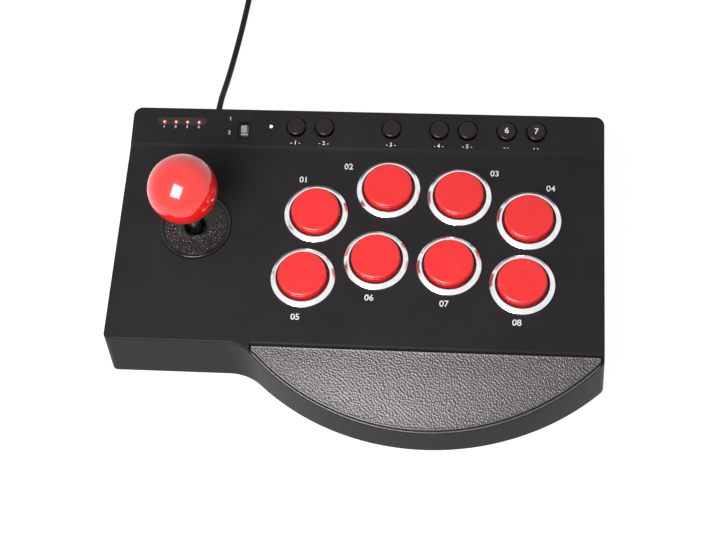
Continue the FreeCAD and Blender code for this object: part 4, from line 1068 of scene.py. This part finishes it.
def makeReturnCoil(coil):
    mesh = nodes["return_spring"].data.copy()
    place = planeMatrix(panelPlane)
    spots = [place.inverted() @ vert.co for vert in mesh.vertices]
    top = max(spot.z for spot in spots)
    for vert, spot in zip(mesh.vertices, spots):
        spot.z = top + coil["share"] * (spot.z - top)
        vert.co = place @ spot
    piece = addPiece("return_coil", mesh, "case", "turnedSteel")
    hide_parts("return_spring")


makeReturnCoil(returnCoil)
print("return coil made")


# grip ridges on the slide switch, contacts in the plug

knobRidges = {
    "place": (-64.45, 9.27), "top": -0.32, "count": 4, "pitch": 0.8,
    "length": 2.7, "width": 0.42, "height": 0.42,
}
plugContacts = {
    "start": 7.0, "row": 262.95, "level": 3.75, "count": 4, "pitch": 2.3,
    "length": 8.0, "width": 1.0, "height": 0.12,
}


def barRow(name, bars, finish):
    return runTree(name, bpy.data.meshes.new(name), trees["bars"], {
        "Count": bars["count"], "Pitch": bars["pitch"] * mm, "Length": bars["length"] * mm,
        "Width": bars["width"] * mm, "Height": bars["height"] * mm, "Finish": finishes[finish],
    })


def makeKnobRidges(bars):
    mesh = barRow("knob_ridges", bars, "knobGrey")
    first = bars["place"][1] - 0.5 * (bars["count"] - 1) * bars["pitch"]
    mesh.transform(onPlane(stripPlane, bars["place"][0], first, bars["top"]))
    addPiece("knob_ridges", mesh, "mode_slider", "knobGrey")


def makePlugContacts(bars):
    mesh = barRow("plug_contacts", bars, "contactGold")
    first = bars["row"] - 0.5 * (bars["count"] - 1) * bars["pitch"]
    mesh.transform(Matrix.Translation(Vector((bars["start"], first, bars["level"])) * mm))
    addPiece("plug_contacts", mesh, "case", "contactGold")


makeKnobRidges(knobRidges)
makePlugContacts(plugContacts)
print("small metal and grip details made")


# floor, light and background

studio = {
    "target": (0.0, 0.0, 0.03),             # metres from here on
    "keyFrom": (-0.2727, -0.595, 0.756), "keyDistance": 0.565, "keySize": (0.289, 0.378), "keyWatts": 3.7,
    "sheenWatts": 5.4,                      # the same box once more, for shine alone
    "fillFrom": (0.80, -0.25, 0.55), "fillDistance": 1.0, "fillSize": (0.9, 0.9), "fillWatts": 1.1,
    "sky": 0.11,
    "floorSize": 6.0, "floorShade": 0.86, "floorWhite": 0.70, "floorGlow": 1.35,
}


def shownRays(tree):  # what the lens, polished and clear surfaces look at
    path = addNode(tree, "ShaderNodeLightPath").outputs
    seen = valueMath(tree, "MAXIMUM", path["Is Camera Ray"], path["Is Glossy Ray"])
    return valueMath(tree, "MAXIMUM", seen, path["Is Transmission Ray"])


def makeWorld():
    world = bpy.data.worlds.new("studioWorld")
    world.use_nodes = True
    tree = world.node_tree
    tree.nodes.clear()
    sky = addNode(tree, "ShaderNodeBackground", {"Color": (1, 1, 1, 1), "Strength": studio["sky"]})
    white = addNode(tree, "ShaderNodeBackground", {"Color": (1, 1, 1, 1), "Strength": 1.0})
    mix = addNode(tree, "ShaderNodeMixShader")
    tree.links.new(shownRays(tree), mix.inputs["Fac"])
    tree.links.new(sky.outputs[0], mix.inputs[1])
    tree.links.new(white.outputs[0], mix.inputs[2])
    tree.links.new(mix.outputs[0], addNode(tree, "ShaderNodeOutputWorld").inputs["Surface"])
    scene.world = world


def makeFloor():
    half = 0.5 * studio["floorSize"]
    mesh = bpy.data.meshes.new("floor")
    mesh.from_pydata([(-half, -half, 0), (half, -half, 0), (half, half, 0), (-half, half, 0)], [], [(0, 1, 2, 3)])
    floor = bpy.data.objects.new("floor", mesh)
    scene.collection.objects.link(floor)
    finish = bpy.data.materials.new("floorPale")
    finish.use_nodes = True
    tree = finish.node_tree
    tree.nodes.clear()
    shade = studio["floorShade"]
    matte = addNode(tree, "ShaderNodeBsdfDiffuse", {"Color": (shade, shade, shade, 1)})
    white = addNode(tree, "ShaderNodeEmission", {"Color": (1, 1, 1, 1), "Strength": studio["floorGlow"]})
    mix = addNode(tree, "ShaderNodeMixShader")
    tree.links.new(valueMath(tree, "MULTIPLY", shownRays(tree), studio["floorWhite"]), mix.inputs["Fac"])
    tree.links.new(matte.outputs[0], mix.inputs[1])
    tree.links.new(white.outputs[0], mix.inputs[2])
    tree.links.new(mix.outputs[0], addNode(tree, "ShaderNodeOutputMaterial").inputs["Surface"])
    mesh.materials.append(finish)


def makeSoftbox(name, toward, distance, size, watts):
    data = bpy.data.lights.new(name, "AREA")
    data.shape = "RECTANGLE"
    data.size, data.size_y = size
    data.energy = watts
    away = Vector(toward).normalized()
    right = Vector((0, 0, 1)).cross(away).normalized()
    box = bpy.data.objects.new(name, data)
    scene.collection.objects.link(box)
    box.matrix_world = aimMatrix(Vector(studio["target"]) + distance * away, away, right)
    return box


makeWorld()
makeFloor()
makeSoftbox("keyBox", studio["keyFrom"], studio["keyDistance"], studio["keySize"], studio["keyWatts"])
sheen = makeSoftbox("sheenBox", studio["keyFrom"], studio["keyDistance"], studio["keySize"], studio["sheenWatts"])
sheen.visible_diffuse = False
fill = makeSoftbox("fillBox", studio["fillFrom"], studio["fillDistance"], studio["fillSize"], studio["fillWatts"])
fill.visible_glossy = False
print("studio made")
